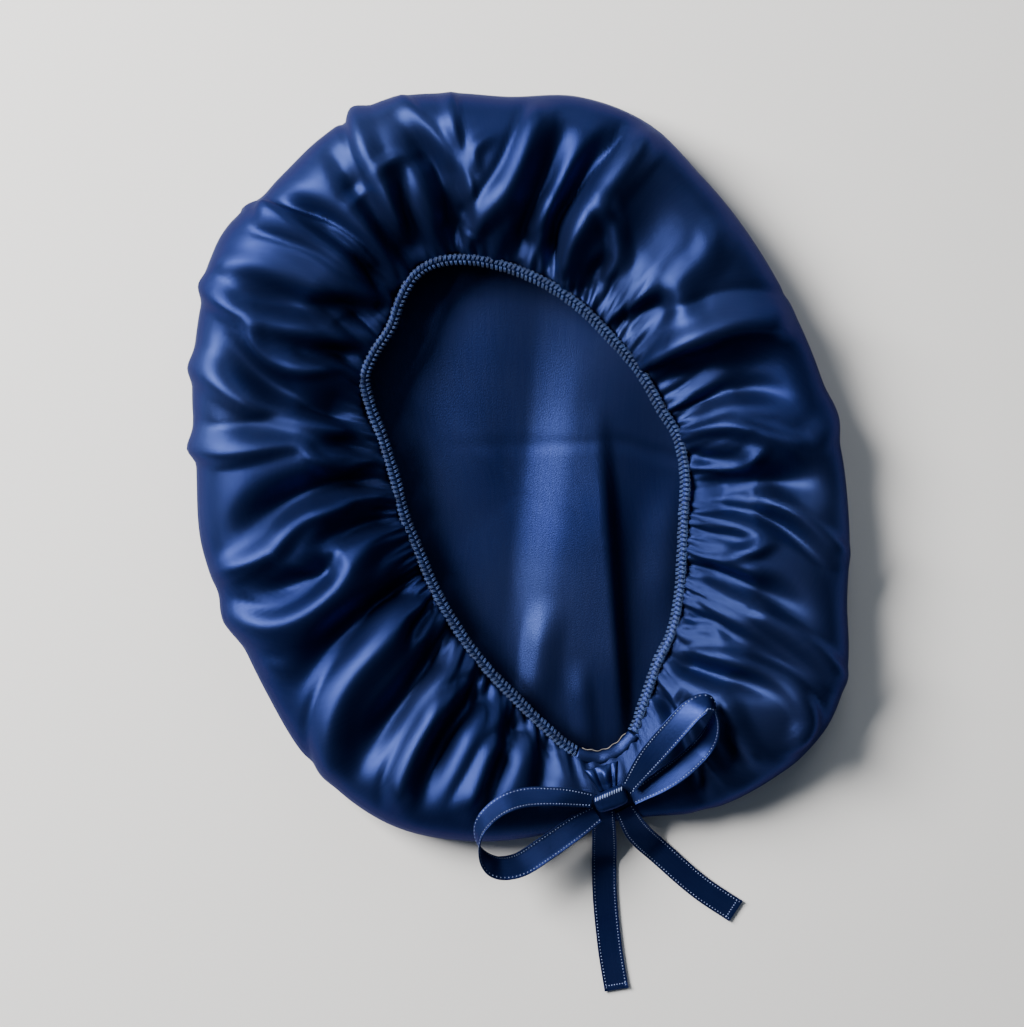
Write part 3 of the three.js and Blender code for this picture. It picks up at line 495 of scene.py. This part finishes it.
def rounded(path):
    # corners cut twice, so that a path of a few points runs smoothly
    for _ in range(2):
        near, far = path[:-1] * 0.75 + path[1:] * 0.25, path[:-1] * 0.25 + path[1:] * 0.75
        path = np.concatenate([path[:1], np.stack([near, far], axis=1).reshape(-1, 2), path[-1:]])
    return path


def ridgeLift(x, y, way):
    # height of the ridges at a place, which are half as wide and high beside the band
    shape = ridgeShape
    total = np.zeros_like(x)
    slim = 0.5 + 0.5 * smooth(way / shape["fullWay"])
    for path, lit, far, rise, side, crease in ridges:
        line = rounded(np.array(path) * mm)
        lengths = np.linalg.norm(np.diff(line, axis=0), axis=1)
        nearest = np.full_like(x, 1e9)
        across = np.zeros_like(x)
        place = np.zeros_like(x)
        for i in range(len(lengths)):
            run = line[i + 1] - line[i]
            px, py = x - line[i][0], y - line[i][1]
            s = np.clip((px * run[0] + py * run[1]) / lengths[i] ** 2, 0, 1)
            distance = np.hypot(px - s * run[0], py - s * run[1])
            closer = distance < nearest
            left = np.where(run[0] * py - run[1] * px > 0, side, -side)
            nearest = np.where(closer, distance, nearest)
            across = np.where(closer, distance * left, across)
            place = np.where(closer, lengths[:i].sum() + s * lengths[i], place)
        litWidth, farWidth = lit * mm * slim, far * mm * slim
        t = across + shape["crest"] * litWidth
        foot = np.where(t > 0, litWidth * shape["litReach"], farWidth * shape["farReach"])
        bell = smooth(1 - np.abs(t) / foot)
        ends = smooth(place / shape["headWay"] + 0.25) * smooth((lengths.sum() - place) / shape["tailWay"])
        notch = crease * np.exp(-(((t - litWidth * shape["creaseAt"]) / shape["creaseWidth"]) ** 2))
        total += (rise * slim * bell - notch) * ends * mm
    return total


def gatherLift(columns, share, span, draws):
    # rounded ridges with sharp valleys, whose phases wander, and which merge as they run outwards
    turn = columns * tau
    way = share * span
    total = np.zeros_like(way)

    def waves(strengths, counts):
        return sum(draws.uniform(*strengths) * np.sin(k * turn + draws.uniform(0, tau)) for k in counts)

    for count, depth, rise, fade in gatherLevels:
        phase = draws.uniform(0, tau)
        wander = waves(gatherWave["wander"], (3, 5, 8, 13))
        drift = waves(gatherWave["drift"], (4, 7, 11))
        strength = 0.75 + 0.25 * sum(np.sin(k * turn + draws.uniform(0, tau)) for k in (6, 9)) / 2
        wave = np.abs(np.sin((count * turn + phase) / 2 + wander + drift * way / fade))
        ridge = wave ** gatherWave["roundness"] - gatherWave["middle"]
        ends = smooth((way / rise + 0.6) / 1.6) * np.exp(-((way / fade) ** 1.6))
        total += depth * strength * ridge * ends
    return total


def wrinkleLift(x, y):
    # the crown's loose folds, each a bank with its own slope on either side
    shape = bankShape
    total = np.zeros_like(x)
    for first, last, left, right, rise, edged in crownBanks:
        start = np.array(first) * mm
        run = (np.array(last) - first) * mm
        s = ((x - start[0]) * run[0] + (y - start[1]) * run[1]) / (run @ run)
        across = ((x - start[0]) * run[1] - (y - start[1]) * run[0]) / math.sqrt(run @ run)
        near = 1 - np.abs(across) / np.where(across > 0, left * mm, right * mm)
        bell = smooth(near)
        if edged:
            bell = np.where(across > 0, np.clip(near, 0, 1) ** shape["edge"], bell)
        ends = smooth((s + shape["before"]) / shape["ease"]) * smooth((shape["after"] - s) / shape["ease"])
        total += rise * mm * ends * bell
    return np.maximum(total, -shape["sag"]) + shape["sag"]


def ringHeight(angle, share):
    # up from the band to the ring's crest, and over it down to the rim
    rim, top = pouch["rimHeight"], pouch["crestShare"]
    crest = around(puffTable, 1, angle) * pouch["puffHeight"]
    edge = clothStart(angle)[..., 2]
    out = np.clip((share - top) / (1 - top), 0, 1)
    outer = rim + (crest - rim) * np.sqrt(np.maximum(0, 1 - out ** pouch["rimFullness"]))
    inner = edge + (crest - edge) * np.sin(math.pi / 2 * share / top)
    return np.where(share > top, outer, inner)


def ringRow(angles, share):
    start = clothStart(angles)
    rim = facing(angles) * rimReach(angles)[:, None]
    plan = start[:, :2] + (rim - start[:, :2]) * share
    return np.column_stack([plan, ringHeight(angles, np.full_like(angles, share))])


def gridNormals(rows, angles):
    ahead = np.roll(rows, -1, axis=1) - np.roll(rows, 1, axis=1)
    outward = np.gradient(rows, axis=0)
    normals = np.cross(outward, ahead)
    normals /= np.maximum(np.linalg.norm(normals, axis=2, keepdims=True), 1e-12)
    normals[0] = bandFrame(angles)[2]
    return normals


def halveColumns(outer, inner, count):
    # faces between a ring of count columns and the ring inside it, of half as many
    faces = []
    for k in range(count // 2):
        a, b, c = outer + 2 * k, outer + 2 * k + 1, outer + (2 * k + 2) % count
        d, e = inner + k, inner + (k + 1) % (count // 2)
        faces += [(a, b, d), (b, e, d), (b, c, e)]
    return faces


def makeCloth():
    build = clothBuild
    draws = np.random.default_rng(build["gatherSeed"])
    count = build["columns"]
    angles = evenAngles(count)
    shares = np.minimum(np.linspace(0, 1, build["ringRows"]) ** build["ringSpread"], build["lastRing"])
    rows = np.array([ringRow(angles, share) for share in shares])
    turns = np.radians(np.linspace(90, 0, build["underRows"] + 1))
    underRows = []
    for turn in turns:
        reach = rimReach(angles) - pouch["rimTuck"] * (1 - math.sin(turn))
        height = pouch["rimHeight"] * (1 - math.cos(turn))
        underRows.append(np.column_stack([facing(angles) * reach[:, None], np.full(count, height)]))
    rows = np.concatenate([rows, np.array(underRows)])
    normals = gridNormals(rows, angles)
    grid = np.ones((len(rows), count))
    allShares = np.concatenate([shares, np.ones(len(underRows))])[:, None] * grid
    x, y = rows[:, :, 0], rows[:, :, 1]
    span = (rimReach(angles) - bandReach(angles)) * grid
    lift = foldLift(angles * grid, allShares, np.hypot(x, y), span)
    lift += ridgeLift(x, y, allShares * span)
    lift += gatherLift(np.arange(count) / count * grid, allShares, span, draws)
    under = np.concatenate([np.ones(len(shares)), np.linspace(1, 0, len(underRows))])[:, None]
    rows = rows + normals * (lift * under)[:, :, None]

    points = list(rows.reshape(-1, 3))
    steps = np.linalg.norm(np.diff(rows, axis=0), axis=2).mean(axis=1)
    floorReach = rimReach(angles) - pouch["rimTuck"]
    cutReach = floorReach.mean() + np.concatenate([[0], np.cumsum(steps[::-1])])[::-1]
    uvs = list((cutReach[:, None, None] * facing(angles)).reshape(-1, 2))
    faces = []
    for i in range(len(rows) - 1):
        faces += ringFaces(i * count, (i + 1) * count, count)

    # the crown's floor, with fewer columns towards its middle
    first = (len(rows) - 1) * count
    total = sum(build["floorRows"])
    done = 0
    columns = count
    for number, wanted in zip(build["floorRows"], (count, count // 2, count // 4)):
        for _ in range(number):
            done += 1
            share = (1 - done / (total + 1)) ** build["floorSpread"]
            some = angles[::count // wanted]
            plan = facing(some) * ((rimReach(some) - pouch["rimTuck"]) * share)[:, None]
            height = wrinkleLift(plan[:, 0], plan[:, 1]) * smooth((1 - share) / build["floorEase"])
            start = len(points)
            points += list(np.column_stack([plan, height]))
            uvs += list(share * floorReach.mean() * facing(some))
            joint = ringFaces if wanted == columns else halveColumns
            faces += joint(first, start, columns)
            first, columns = start, wanted
    faces += [(first + j, first + (j + 1) % columns, len(points)) for j in range(columns)]
    points.append((0, 0, float(wrinkleLift(np.zeros(1), np.zeros(1))[0])))
    uvs.append((0, 0))
    return meshPiece("bonnet_satin", placed(points), faces, uvs)


cloth = makeCloth()
cloth.data.flip_normals()  # its rows run outwards, so its faces come out looking in
thicken(cloth, clothBuild["thickness"], -1)
cloth.data.materials.append(clothSatin)
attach(cloth, "root")
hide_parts("bonnet_cloth")
print("cloth gathered", len(cloth.data.polygons), "faces")


def threadTube(route, radius, sides=6):
    # a closed tube along a short route, as points and faces
    along = unit(np.gradient(np.asarray(route), axis=0))
    side = unit(np.cross(along, (0.13, 0.21, 1.0)))
    over = np.cross(side, along)
    turns = np.arange(sides) * tau / sides
    rings = [p + radius * (np.cos(turns)[:, None] * s + np.sin(turns)[:, None] * o)
             for p, s, o in zip(route, side, over)]
    return np.concatenate(rings), tubeFaces(len(route), sides)


def bead(size, at=(0, 0, 0), turn=0.0):
    # a small rounded bead of 20 faces, turned in plan
    bpy.ops.object.select_all(action="DESELECT")
    bpy.ops.mesh.primitive_ico_sphere_add(subdivisions=1, radius=0.5)
    piece = bpy.context.object
    points = np.array([point.co for point in piece.data.vertices], dtype=float) * size
    faces = [tuple(face.vertices) for face in piece.data.polygons]
    bpy.data.objects.remove(piece)
    c, s = math.cos(turn), math.sin(turn)
    return points @ np.array([[c, s, 0], [-s, c, 0], [0, 0, 1]]) + at, faces


def joined(parts):
    points, faces, start = [], [], 0
    for somePoints, someFaces in parts:
        points.append(somePoints)
        faces += [tuple(i + start for i in face) for face in someFaces]
        start += len(somePoints)
    return np.concatenate(points), faces


# The overlocked band: a core of rolled cloth and elastic, with threads wrapped over it
bandBuild = {
    "pitch": 1.86 * mm, "thread": 0.21 * mm, "threadSides": 5, "beside": 0.29, "endGap": 0.2 * mm,
    "coreShare": 0.86, "coreSteps": 6, "coreSides": 12, "pinch": 0.05, "stitchSeed": 11,
}
bandAngles = gapAngles["end"] + (360 - gapAngles["end"] + gapAngles["start"]) * wholeTurn / 360
bandWays = waysAlong(bandFrame(bandAngles)[0])
stitchCount = round(bandWays[-1] / bandBuild["pitch"])


def onBand(points):
    # from way along the band, place across it and height over it, to a place in the scene
    middle, across, up = bandFrame(np.interp(points[:, 0], bandWays, bandAngles))
    return placed(middle + across * points[:, 1:2] + up * points[:, 2:3])


def makeBand():
    build = bandBuild
    sections = stitchCount * build["coreSteps"] + 1
    ways = np.linspace(build["endGap"], bandWays[-1] - build["endGap"], sections)
    turns = np.arange(build["coreSides"]) * tau / build["coreSides"]
    halfWidth = bandShape["width"] / 2 * build["coreShare"]
    halfThick = bandShape["thickness"] / 2 * build["coreShare"]
    rings = []
    for i, way in enumerate(ways):
        full = 1 - build["pinch"] * math.cos(i / build["coreSteps"] * tau)
        v = halfWidth * squared(np.cos(turns), 0.8)
        w = halfThick * full * np.sin(turns)
        rings.append(np.column_stack([np.full(len(turns), way), v, w]))
    points = np.concatenate(rings)
    faces = tubeFaces(sections, build["coreSides"])
    return closedPiece("elastic_core", onBand(points), faces, clothSatin, points[:, [1, 0]])


def oneStitch():
    # threads over one pitch: two bars that wrap the inner edge and two that lean back over the outer one,
    # by way in pitches, and by place across and height in millimetres
    pitch = bandBuild["pitch"]
    scale = np.array([pitch, mm, mm])
    inner = np.array([
        (-0.02, -1.7, -0.9), (0.0, -2.4, -0.3), (0.03, -2.35, 0.45), (0.1, -1.6, 1.05), (0.2, -0.9, 1.25),
        (0.27, -0.35, 0.85),
    ]) * scale
    outer = np.array([
        (0.58, 0.15, 0.85), (0.52, 0.65, 1.25), (0.4, 1.35, 1.15), (0.3, 1.95, 0.6), (0.26, 2.1, 0.1),
    ]) * scale
    beside = np.array([bandBuild["beside"], 0, 0]) * scale
    bars = [
        threadTube(route, bandBuild["thread"], bandBuild["threadSides"])
        for route in (inner, inner + beside, outer, outer + beside)
    ]
    loop = bead((0.3 * pitch, 0.5 * mm, 0.4 * mm), (0.95 * pitch, 1.75 * mm, 0.85 * mm), 0.4)
    return joined([*bars, loop])


def makeStitches():
    draws = random.Random(bandBuild["stitchSeed"])
    points, faces = oneStitch()
    copies = []
    for i in range(stitchCount):
        way = (i + 0.05 + draws.uniform(-0.1, 0.1)) * bandBuild["pitch"]
        moved = points * (1, draws.uniform(0.94, 1.05), draws.uniform(0.95, 1.06))
        moved[:, 0] = np.clip(way + moved[:, 0], 0, bandWays[-1])
        copies.append((onBand(moved), faces))
    return closedPiece("overlock_stitches", *joined(copies), stitchThread)


core = makeBand()
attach(core, "root")
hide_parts("elastic_band")
stitches = makeStitches()
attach(stitches, "root")
print("band stitched with", stitchCount, "stitches")

# The ribbon: two loops and two tails laid over the cloth, and the knot
ribbonBuild = {
    "width": 10 * mm, "thickness": 0.34 * mm, "ribThickness": 0.6 * mm, "steps": 130, "layGap": 0.6 * mm,
    "picotInset": 1.0 * mm, "picotPitch": 1.3 * mm, "picotSize": (0.52 * mm, 0.5 * mm, 0.34 * mm),
    "picotHeight": 0.04 * mm, "hemWay": 2.1 * mm, "hemThickness": 1.7, "hemPicots": 8, "ribStart": 0.43,
    "ribRise": 0.03, "edgeAngle": math.radians(50), "easeSteps": 9,
}
knotBuild = {
    "length": 13.5 * mm, "width": 8.2 * mm, "height": 6.6 * mm, "turn": math.radians(23), "offset": 17 * mm,
    "sides": 40, "steps": 34, "lean": 0.35 * mm, "barSize": (0.6 * mm, 2.1 * mm, 0.5 * mm), "barTurn": -0.35,
    "bars": 12, "barStart": -5.6 * mm, "barPitch": 1.02 * mm, "barPlace": 0.3, "barHeight": 0.02 * mm,
}
knotPlan = facing(gapAngles["middle"]) * (bandReach(gapAngles["middle"]) + knotBuild["offset"])
loopSpan = 55 * mm
tailSpan = 80 * mm
loopSlope, tailSlope = 0.2, 0.75  # how steeply each may come down between the places it rests on
# x, y and lift as shares of the span, breadth as a share of the width, and the angle by which the outer
# side looks up
leftLoopTable = [
    (-0.14, -0.005, 0.05, 0.6, 84), (-0.38, 0.03, 0.05, 0.85, 55), (-0.64, 0.03, 0.045, 1, 45),
    (-0.82, -0.04, 0.04, 1, 42), (-0.95, -0.18, 0.03, 1, 30), (-0.95, -0.35, 0.02, 1, -5),
    (-0.84, -0.48, 0.01, 1, -55), (-0.67, -0.475, 0.005, 1, -75), (-0.47, -0.355, 0.003, 1, -80),
    (-0.25, -0.205, 0.002, 0.95, -82), (-0.1, -0.11, 0, 0.75, -86),
]
rightLoopTable = [
    (0.13, 0.095, 0.06, 0.6, 84), (0.28, 0.32, 0.11, 0.95, 76), (0.44, 0.52, 0.14, 1, 72),
    (0.575, 0.67, 0.13, 1, 62), (0.68, 0.725, 0.09, 1, 40), (0.74, 0.65, 0.05, 1, 0),
    (0.7, 0.46, 0.02, 1, -42), (0.56, 0.29, 0.01, 1, -55), (0.38, 0.145, 0.005, 0.9, -72),
    (0.155, 0.005, 0, 0.6, -86),
]
leftTailTable = [
    (-0.035, -0.065, 0, 0.9, 90), (-0.025, -0.26, 0, 1, 90), (-0.02, -0.52, 0, 1, 90),
    (0.005, -0.78, 0, 1, 90), (0.04, -1, 0, 1, 90),
]
rightTailTable = [
    (0.07, -0.055, 0, 0.8, 90), (0.15, -0.19, 0, 1, 90), (0.3, -0.335, 0, 1, 90),
    (0.47, -0.48, 0, 1, 90), (0.65, -0.6, 0, 1, 90),
]


def alongTable(table, column, shares):
    values = np.array([row[column] for row in table], dtype=float)
    values = np.concatenate([[2 * values[0] - values[1]], values, [2 * values[-1] - values[-2]]])
    place = shares * (len(table) - 1)
    i = np.minimum(len(table) - 2, np.floor(place).astype(int)) + 1
    s = place - (i - 1)
    slope1 = (values[i + 1] - values[i - 1]) / 2
    slope2 = (values[i + 2] - values[i]) / 2
    return between(values, i, s, slope1, slope2)


def treeOf(piece):
    mesh = piece.data
    return BVHTree.FromPolygons([v.co for v in mesh.vertices], [f.vertices for f in mesh.polygons])


def topUnder(trees, x, y):
    tops = [tree.ray_cast(Vector((x, y, 1.0)), Vector((0, 0, -1)))[0] for tree in trees]
    return max([hit.z for hit in tops if hit is not None], default=0.0)


def ribbonFrames(table, span, turn, steepest, trees):
    # the middle, the direction across and the direction out of the outer side, all along a ribbon
    shares = np.linspace(0, 1, ribbonBuild["steps"] + 1)
    plan = np.column_stack([alongTable(table, 0, shares), alongTable(table, 1, shares)]) * span
    plan = plan + knotPlan + centre[:2]
    lift = alongTable(table, 2, shares) * span
    width = alongTable(table, 3, shares) * ribbonBuild["width"]
    face = np.radians(alongTable(table, 4, shares))
    along = unit(np.gradient(plan, axis=0))
    out = np.column_stack([along[:, 1], -along[:, 0]]) * turn
    normal = np.column_stack([out * np.cos(face)[:, None], np.sin(face)])
    side = np.column_stack([-out * np.sin(face)[:, None], np.cos(face)])
    support = np.array([
        max(topUnder(trees, *(p + s[:2] * w * k / 2)) for k in (-1, -0.5, 0, 0.5, 1))
        for p, s, w in zip(plan, side, width)
    ])
    apart = np.linalg.norm(plan[:, None, :] - plan[None, :, :], axis=2)
    eased = (support[None, :] - steepest * apart).max(axis=1)
    steps = ribbonBuild["easeSteps"]
    level = np.convolve(np.pad(eased, steps // 2, mode="edge"), np.ones(steps) / steps, "valid")
    rest = np.maximum(eased, level)
    depth = (np.abs(side[:, 2]) * width + np.abs(normal[:, 2]) * ribbonBuild["thickness"]) / 2
    middle = np.column_stack([plan, rest + ribbonBuild["layGap"] + depth + lift])
    return middle, side, normal, width


def makeRibbon(name, table, span, turn, steepest, trees, hemmed):
    middle, side, normal, width = ribbonFrames(table, span, turn, steepest, trees)
    ways = waysAlong(middle)
    places = np.array([-0.5, -0.485, -0.46, -0.43, -0.3, -0.1, 0.1, 0.3, 0.43, 0.46, 0.485, 0.5])
    edge = (np.abs(places) - ribbonBuild["ribStart"]) / ribbonBuild["ribRise"]
    edge = np.clip(edge, 0, 1) * (np.abs(places) < places[-1])
    flat, rib = ribbonBuild["thickness"], ribbonBuild["ribThickness"]
    half = (flat + (rib - flat) * edge) / 2
    rings, uvs = [], []
    for i in range(len(middle)):
        inHem = hemmed and ways[-1] - ways[i] < ribbonBuild["hemWay"]
        hem = ribbonBuild["hemThickness"] if inHem else 1
        row = middle[i] + side[i] * (width[i] * places)[:, None]
        thick = normal[i] * (half * hem)[:, None]
        rings += [*(row + thick), *(row - thick)[::-1]]
        uvs += [(p * ribbonBuild["width"], ways[i]) for p in (*places, *places[::-1])]
    strip = closedPiece(name, rings, tubeFaces(len(middle), 2 * len(places)), ribbonSatin, uvs)
    bpy.ops.object.shade_smooth_by_angle(angle=ribbonBuild["edgeAngle"])
    picots = makePicots(name + "_picots", middle, side, normal, width, ways, hemmed)
    return strip, picots, float(ways[-1])


def makePicots(name, middle, side, normal, width, ways, hemmed):
    # small stitches along both edges and both sides of a ribbon, in a thread whose light blue is painted
    # highlight
    dot, dotFaces = bead(ribbonBuild["picotSize"])
    along = unit(np.gradient(middle, axis=0))
    spots = [
        (way, edge * 0.5, -edge * ribbonBuild["picotInset"])
        for way in np.arange(0.6 * mm, ways[-1] - 0.3 * mm, ribbonBuild["picotPitch"]) for edge in (-1, 1)
    ]
    if hemmed:
        hem = ways[-1] - ribbonBuild["hemWay"]
        spots += [(hem, place, 0) for place in np.linspace(-0.38, 0.38, ribbonBuild["hemPicots"])]
    height = ribbonBuild["thickness"] / 2 + ribbonBuild["picotHeight"]
    parts = []
    for way, place, inset in spots:
        at, s, n, a = [
            np.array([np.interp(way, ways, values[:, k]) for k in range(3)])
            for values in (middle, side, normal, along)
        ]
        base = at + s * (np.interp(way, ways, width) * place + inset)
        for face in (-1, 1):
            parts.append((dot @ np.array([a, s, n]) + base + n * face * height, dotFaces))
    return closedPiece(name, *joined(parts), picotThreadPaintedHighlight)


clothTree = treeOf(cloth)
bandTree = treeOf(core)


def ribbonPiece(name, node, table, span, turn, steepest, trees, hemmed=False):
    # turn is 1 where the outer side looks right of the path, -1 where it looks left
    strip, picots, length = makeRibbon(name, table, span, turn, steepest, trees, hemmed)
    for piece in (strip, picots):
        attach(piece, "root")
    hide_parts(node)
    print(name, "laid,", round(length / mm), "mm long")


bothTrees = [clothTree, bandTree]
ribbonPiece("left_loop", "bow_loop_left", leftLoopTable, loopSpan, 1, loopSlope, [clothTree])
ribbonPiece("right_loop", "bow_loop_right", rightLoopTable, loopSpan, -1, loopSlope, bothTrees)
for name, node, table in (
    ("left_tail", "ribbon_tail_left", leftTailTable), ("right_tail", "ribbon_tail_right", rightTailTable),
):
    ribbonPiece(name, node, table, tailSpan, 1, tailSlope, [clothTree], True)


def makeKnot():
    # ribbon wrapped into a small block, with picots along its upper edge whose light blue is painted
    # highlight
    build = knotBuild
    c, s = math.cos(build["turn"]), math.sin(build["turn"])
    middle = knotPlan + centre[:2]
    reach = np.array([build["length"], build["width"]]) / 2.2
    corners = [middle + reach * (u, v) for u in (-1, 0, 1) for v in (-1, 0, 1)]
    rest = max(topUnder([clothTree], x, y) for x, y in corners)
    rings, uvs, sides, steps = [], [], build["sides"], build["steps"]
    for i in range(steps + 1):
        a = -1 + 2 * i / steps
        full = max((1 - abs(a) ** 9) ** 0.3 * (0.86 + 0.14 * math.cos(a * 1.4)), 0.4)
        turns = np.arange(sides) * tau / sides
        across = squared(np.cos(turns), 0.5)
        high = squared(np.sin(turns), 0.75)
        crease = 0.05 * np.sin(across * 7 + a * 2.2) * abs(a) + 0.035 * np.sin(across * 3 - 1.2)
        x = np.full(sides, a * build["length"] / 2)
        y = across * build["width"] / 2 * full * (1 + 0.06 * a)
        z = (high * (1 + crease)) * build["height"] / 2 * full
        z += np.where(high > 0, build["lean"] * across, 0)
        rings.append(np.column_stack([x * c - y * s, x * s + y * c, z]))
        uvs += [(t / tau * build["width"] * 2, a * build["length"] / 2) for t in turns]
    at = np.array([*middle, rest + bandShape["clearance"] + build["height"] / 2])
    points = np.concatenate(rings) + at
    knot = closedPiece("ribbon_knot", points, tubeFaces(steps + 1, sides), ribbonSatin, uvs)
    bar, barFaces = bead(build["barSize"], turn=build["turn"] + build["barTurn"])
    tree = treeOf(knot)
    aside = build["width"] * build["barPlace"]
    parts = []
    for i in range(build["bars"]):
        place = build["barStart"] + i * build["barPitch"]
        x, y = np.array([place * c - aside * s, place * s + aside * c]) + middle
        parts.append((bar + np.array([x, y, topUnder([tree], x, y) + build["barHeight"]]), barFaces))
    return knot, closedPiece("knot_picots", *joined(parts), picotThreadPaintedHighlight)


knot, knotBars = makeKnot()
for piece in (knot, knotBars):
    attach(piece, "root")
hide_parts("bow_knot")
print("knot tied")

# The bunched hem between the band's two ends, its pale thread, and the puffs of ribbon under the knot
tabBuild = {
    "steps": 40, "sides": 14, "width": 5.4 * mm, "thickness": 2.6 * mm, "shift": 0.5 * mm, "length": 25 * mm,
    "inset": 0.25, "thread": 0.14 * mm, "threadPoints": 30,
}


def makeTab():
    build = tabBuild
    first, last = gapAngles["start"] + build["inset"], gapAngles["end"] - build["inset"]
    sides, steps = build["sides"], build["steps"]
    turns = np.arange(sides) * tau / sides
    rings, uvs = [], []
    for i in range(steps + 1):
        share = i / steps
        middle, across, up = bandFrame(first + (last - first) * share)
        puff = 0.8 + 0.25 * abs(math.sin(share * math.pi * 2.5 + 0.5)) + 0.1 * math.sin(share * 17)
        v = np.cos(turns) * build["width"] / 2 * (0.92 + 0.08 * puff) + build["shift"]
        w = np.sin(turns) * build["thickness"] / 2 * puff
        rings.append(placed(middle + across * v[:, None] + up * w[:, None]))
        uvs += [(place, share * build["length"]) for place in v]
    tab = closedPiece("hem_tab", np.concatenate(rings), tubeFaces(steps + 1, sides), clothSatin, uvs)
    route = []
    for i in range(build["threadPoints"]):
        share = 0.04 + 0.9 * i / (build["threadPoints"] - 1)
        middle, across, up = bandFrame(first + (last - first) * share)
        v = -build["width"] / 2 + (0.55 + 0.25 * math.sin(i * 0.9)) * mm
        route.append(placed(middle + across * v + up * (1.0 + 0.12 * math.sin(i * 1.7)) * mm))
    return tab, closedPiece("hem_thread", *threadTube(route, build["thread"]), paleThread)


tab, tabThread = makeTab()
for piece in (tab, tabThread):
    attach(piece, "root")
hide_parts("exit_hem")

leadBuild = {
    "far": -13.4 * mm, "near": -3.6 * mm, "steps": 30, "across": 25, "width": 14 * mm, "height": 2.4 * mm,
    "clearance": 0.4 * mm,
}


def makeLead():
    # two soft puffs of gathered ribbon that run from the hem in under the knot
    build = leadBuild
    direction = facing(gapAngles["middle"])
    aside = np.array([-direction[1], direction[0]])
    points, uvs = [], []
    for i in range(build["steps"] + 1):
        share = i / build["steps"]
        way = build["far"] + (build["near"] - build["far"]) * share
        width = build["width"] * (1 - 0.5 * share)
        for j in range(build["across"] + 1):
            k = j / build["across"] * 2 - 1
            x, y = knotPlan + centre[:2] + direction * way + aside * k * width / 2
            bump = abs(math.cos(k * math.pi * 0.98 - 0.3)) ** 0.8 * (1 - k**4)
            rise = build["height"] * bump * (0.4 + 0.6 * math.sin(math.pi * min(1, share * 1.1 + 0.15)))
            points.append((x, y, topUnder([clothTree], x, y) + build["clearance"] + rise))
            uvs.append((k * build["width"] / 2, way))
    across = build["across"] + 1
    faces = [
        (i * across + j, i * across + j + 1, (i + 1) * across + j + 1, (i + 1) * across + j)
        for i in range(build["steps"]) for j in range(build["across"])
    ]
    lead = meshPiece("ribbon_puffs", points, faces, uvs)
    thicken(lead, ribbonBuild["thickness"], 1)
    turnOutwards(lead)
    lead.data.materials.append(ribbonSatin)
    return lead


lead = makeLead()
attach(lead, "root")
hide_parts("ribbon_lead")
print("tab and lead made")

# Floor, light and a camera that looks straight down
stageLook = {
    "size": 4.0, "colour": (0.95, 0.94, 0.925, 1), "roughness": 0.7, "height": -0.3 * mm,
    "room": (0.66, 0.8, 1.0, 1), "roomStrength": 0.09,
}
bpy.ops.mesh.primitive_plane_add(size=stageLook["size"], location=(0, 0, stageLook["height"]))
floor = bpy.context.object
floor.name = "plain_floor"
floorMaterial, floorShader, _ = nodesFor("pale floor")
setInputs(floorShader, {"Base Color": stageLook["colour"], "Roughness": stageLook["roughness"]})
floor.data.materials.append(floorMaterial)

lamps = [  # where each soft lamp stands, its width and its strength
    {"name": "key", "at": (-1.12, 0.62, 0.95), "size": 0.8, "watts": 68.0, "colour": (1.0, 0.98, 0.95)},
    {"name": "fill", "at": (0.3, 1.3, 0.8), "size": 1.0, "watts": 5.0, "colour": (0.94, 0.97, 1.0)},
]
for lamp in lamps:
    data = bpy.data.lights.new(lamp["name"], "AREA")
    data.size = lamp["size"]
    data.energy = lamp["watts"]
    data.color = lamp["colour"]
    lampPiece = bpy.data.objects.new(lamp["name"], data)
    lampPiece.location = lamp["at"]
    lampPiece.rotation_euler = (-Vector(lamp["at"])).to_track_quat("-Z", "Y").to_euler()
    bpy.context.collection.objects.link(lampPiece)
world = bpy.data.worlds.new("soft room")
bpy.context.scene.world = world
world.use_nodes = True
room = world.node_tree.nodes["Background"]
setInputs(room, {"Color": stageLook["room"], "Strength": stageLook["roomStrength"]})

view = {"lens": 86.0, "sensor": 36, "longSide": 414 * mm, "height": 15 * mm, "aim": (-3.6 * mm, 12.7 * mm)}
cameraData = bpy.data.cameras.new("camera")
cameraData.lens = view["lens"]
cameraData.sensor_width = view["sensor"]
camera = bpy.data.objects.new("camera", cameraData)
camera.location = (*view["aim"], view["height"] + view["longSide"] * view["lens"] / view["sensor"])
bpy.context.collection.objects.link(camera)
bpy.context.scene.camera = camera
print("camera set")
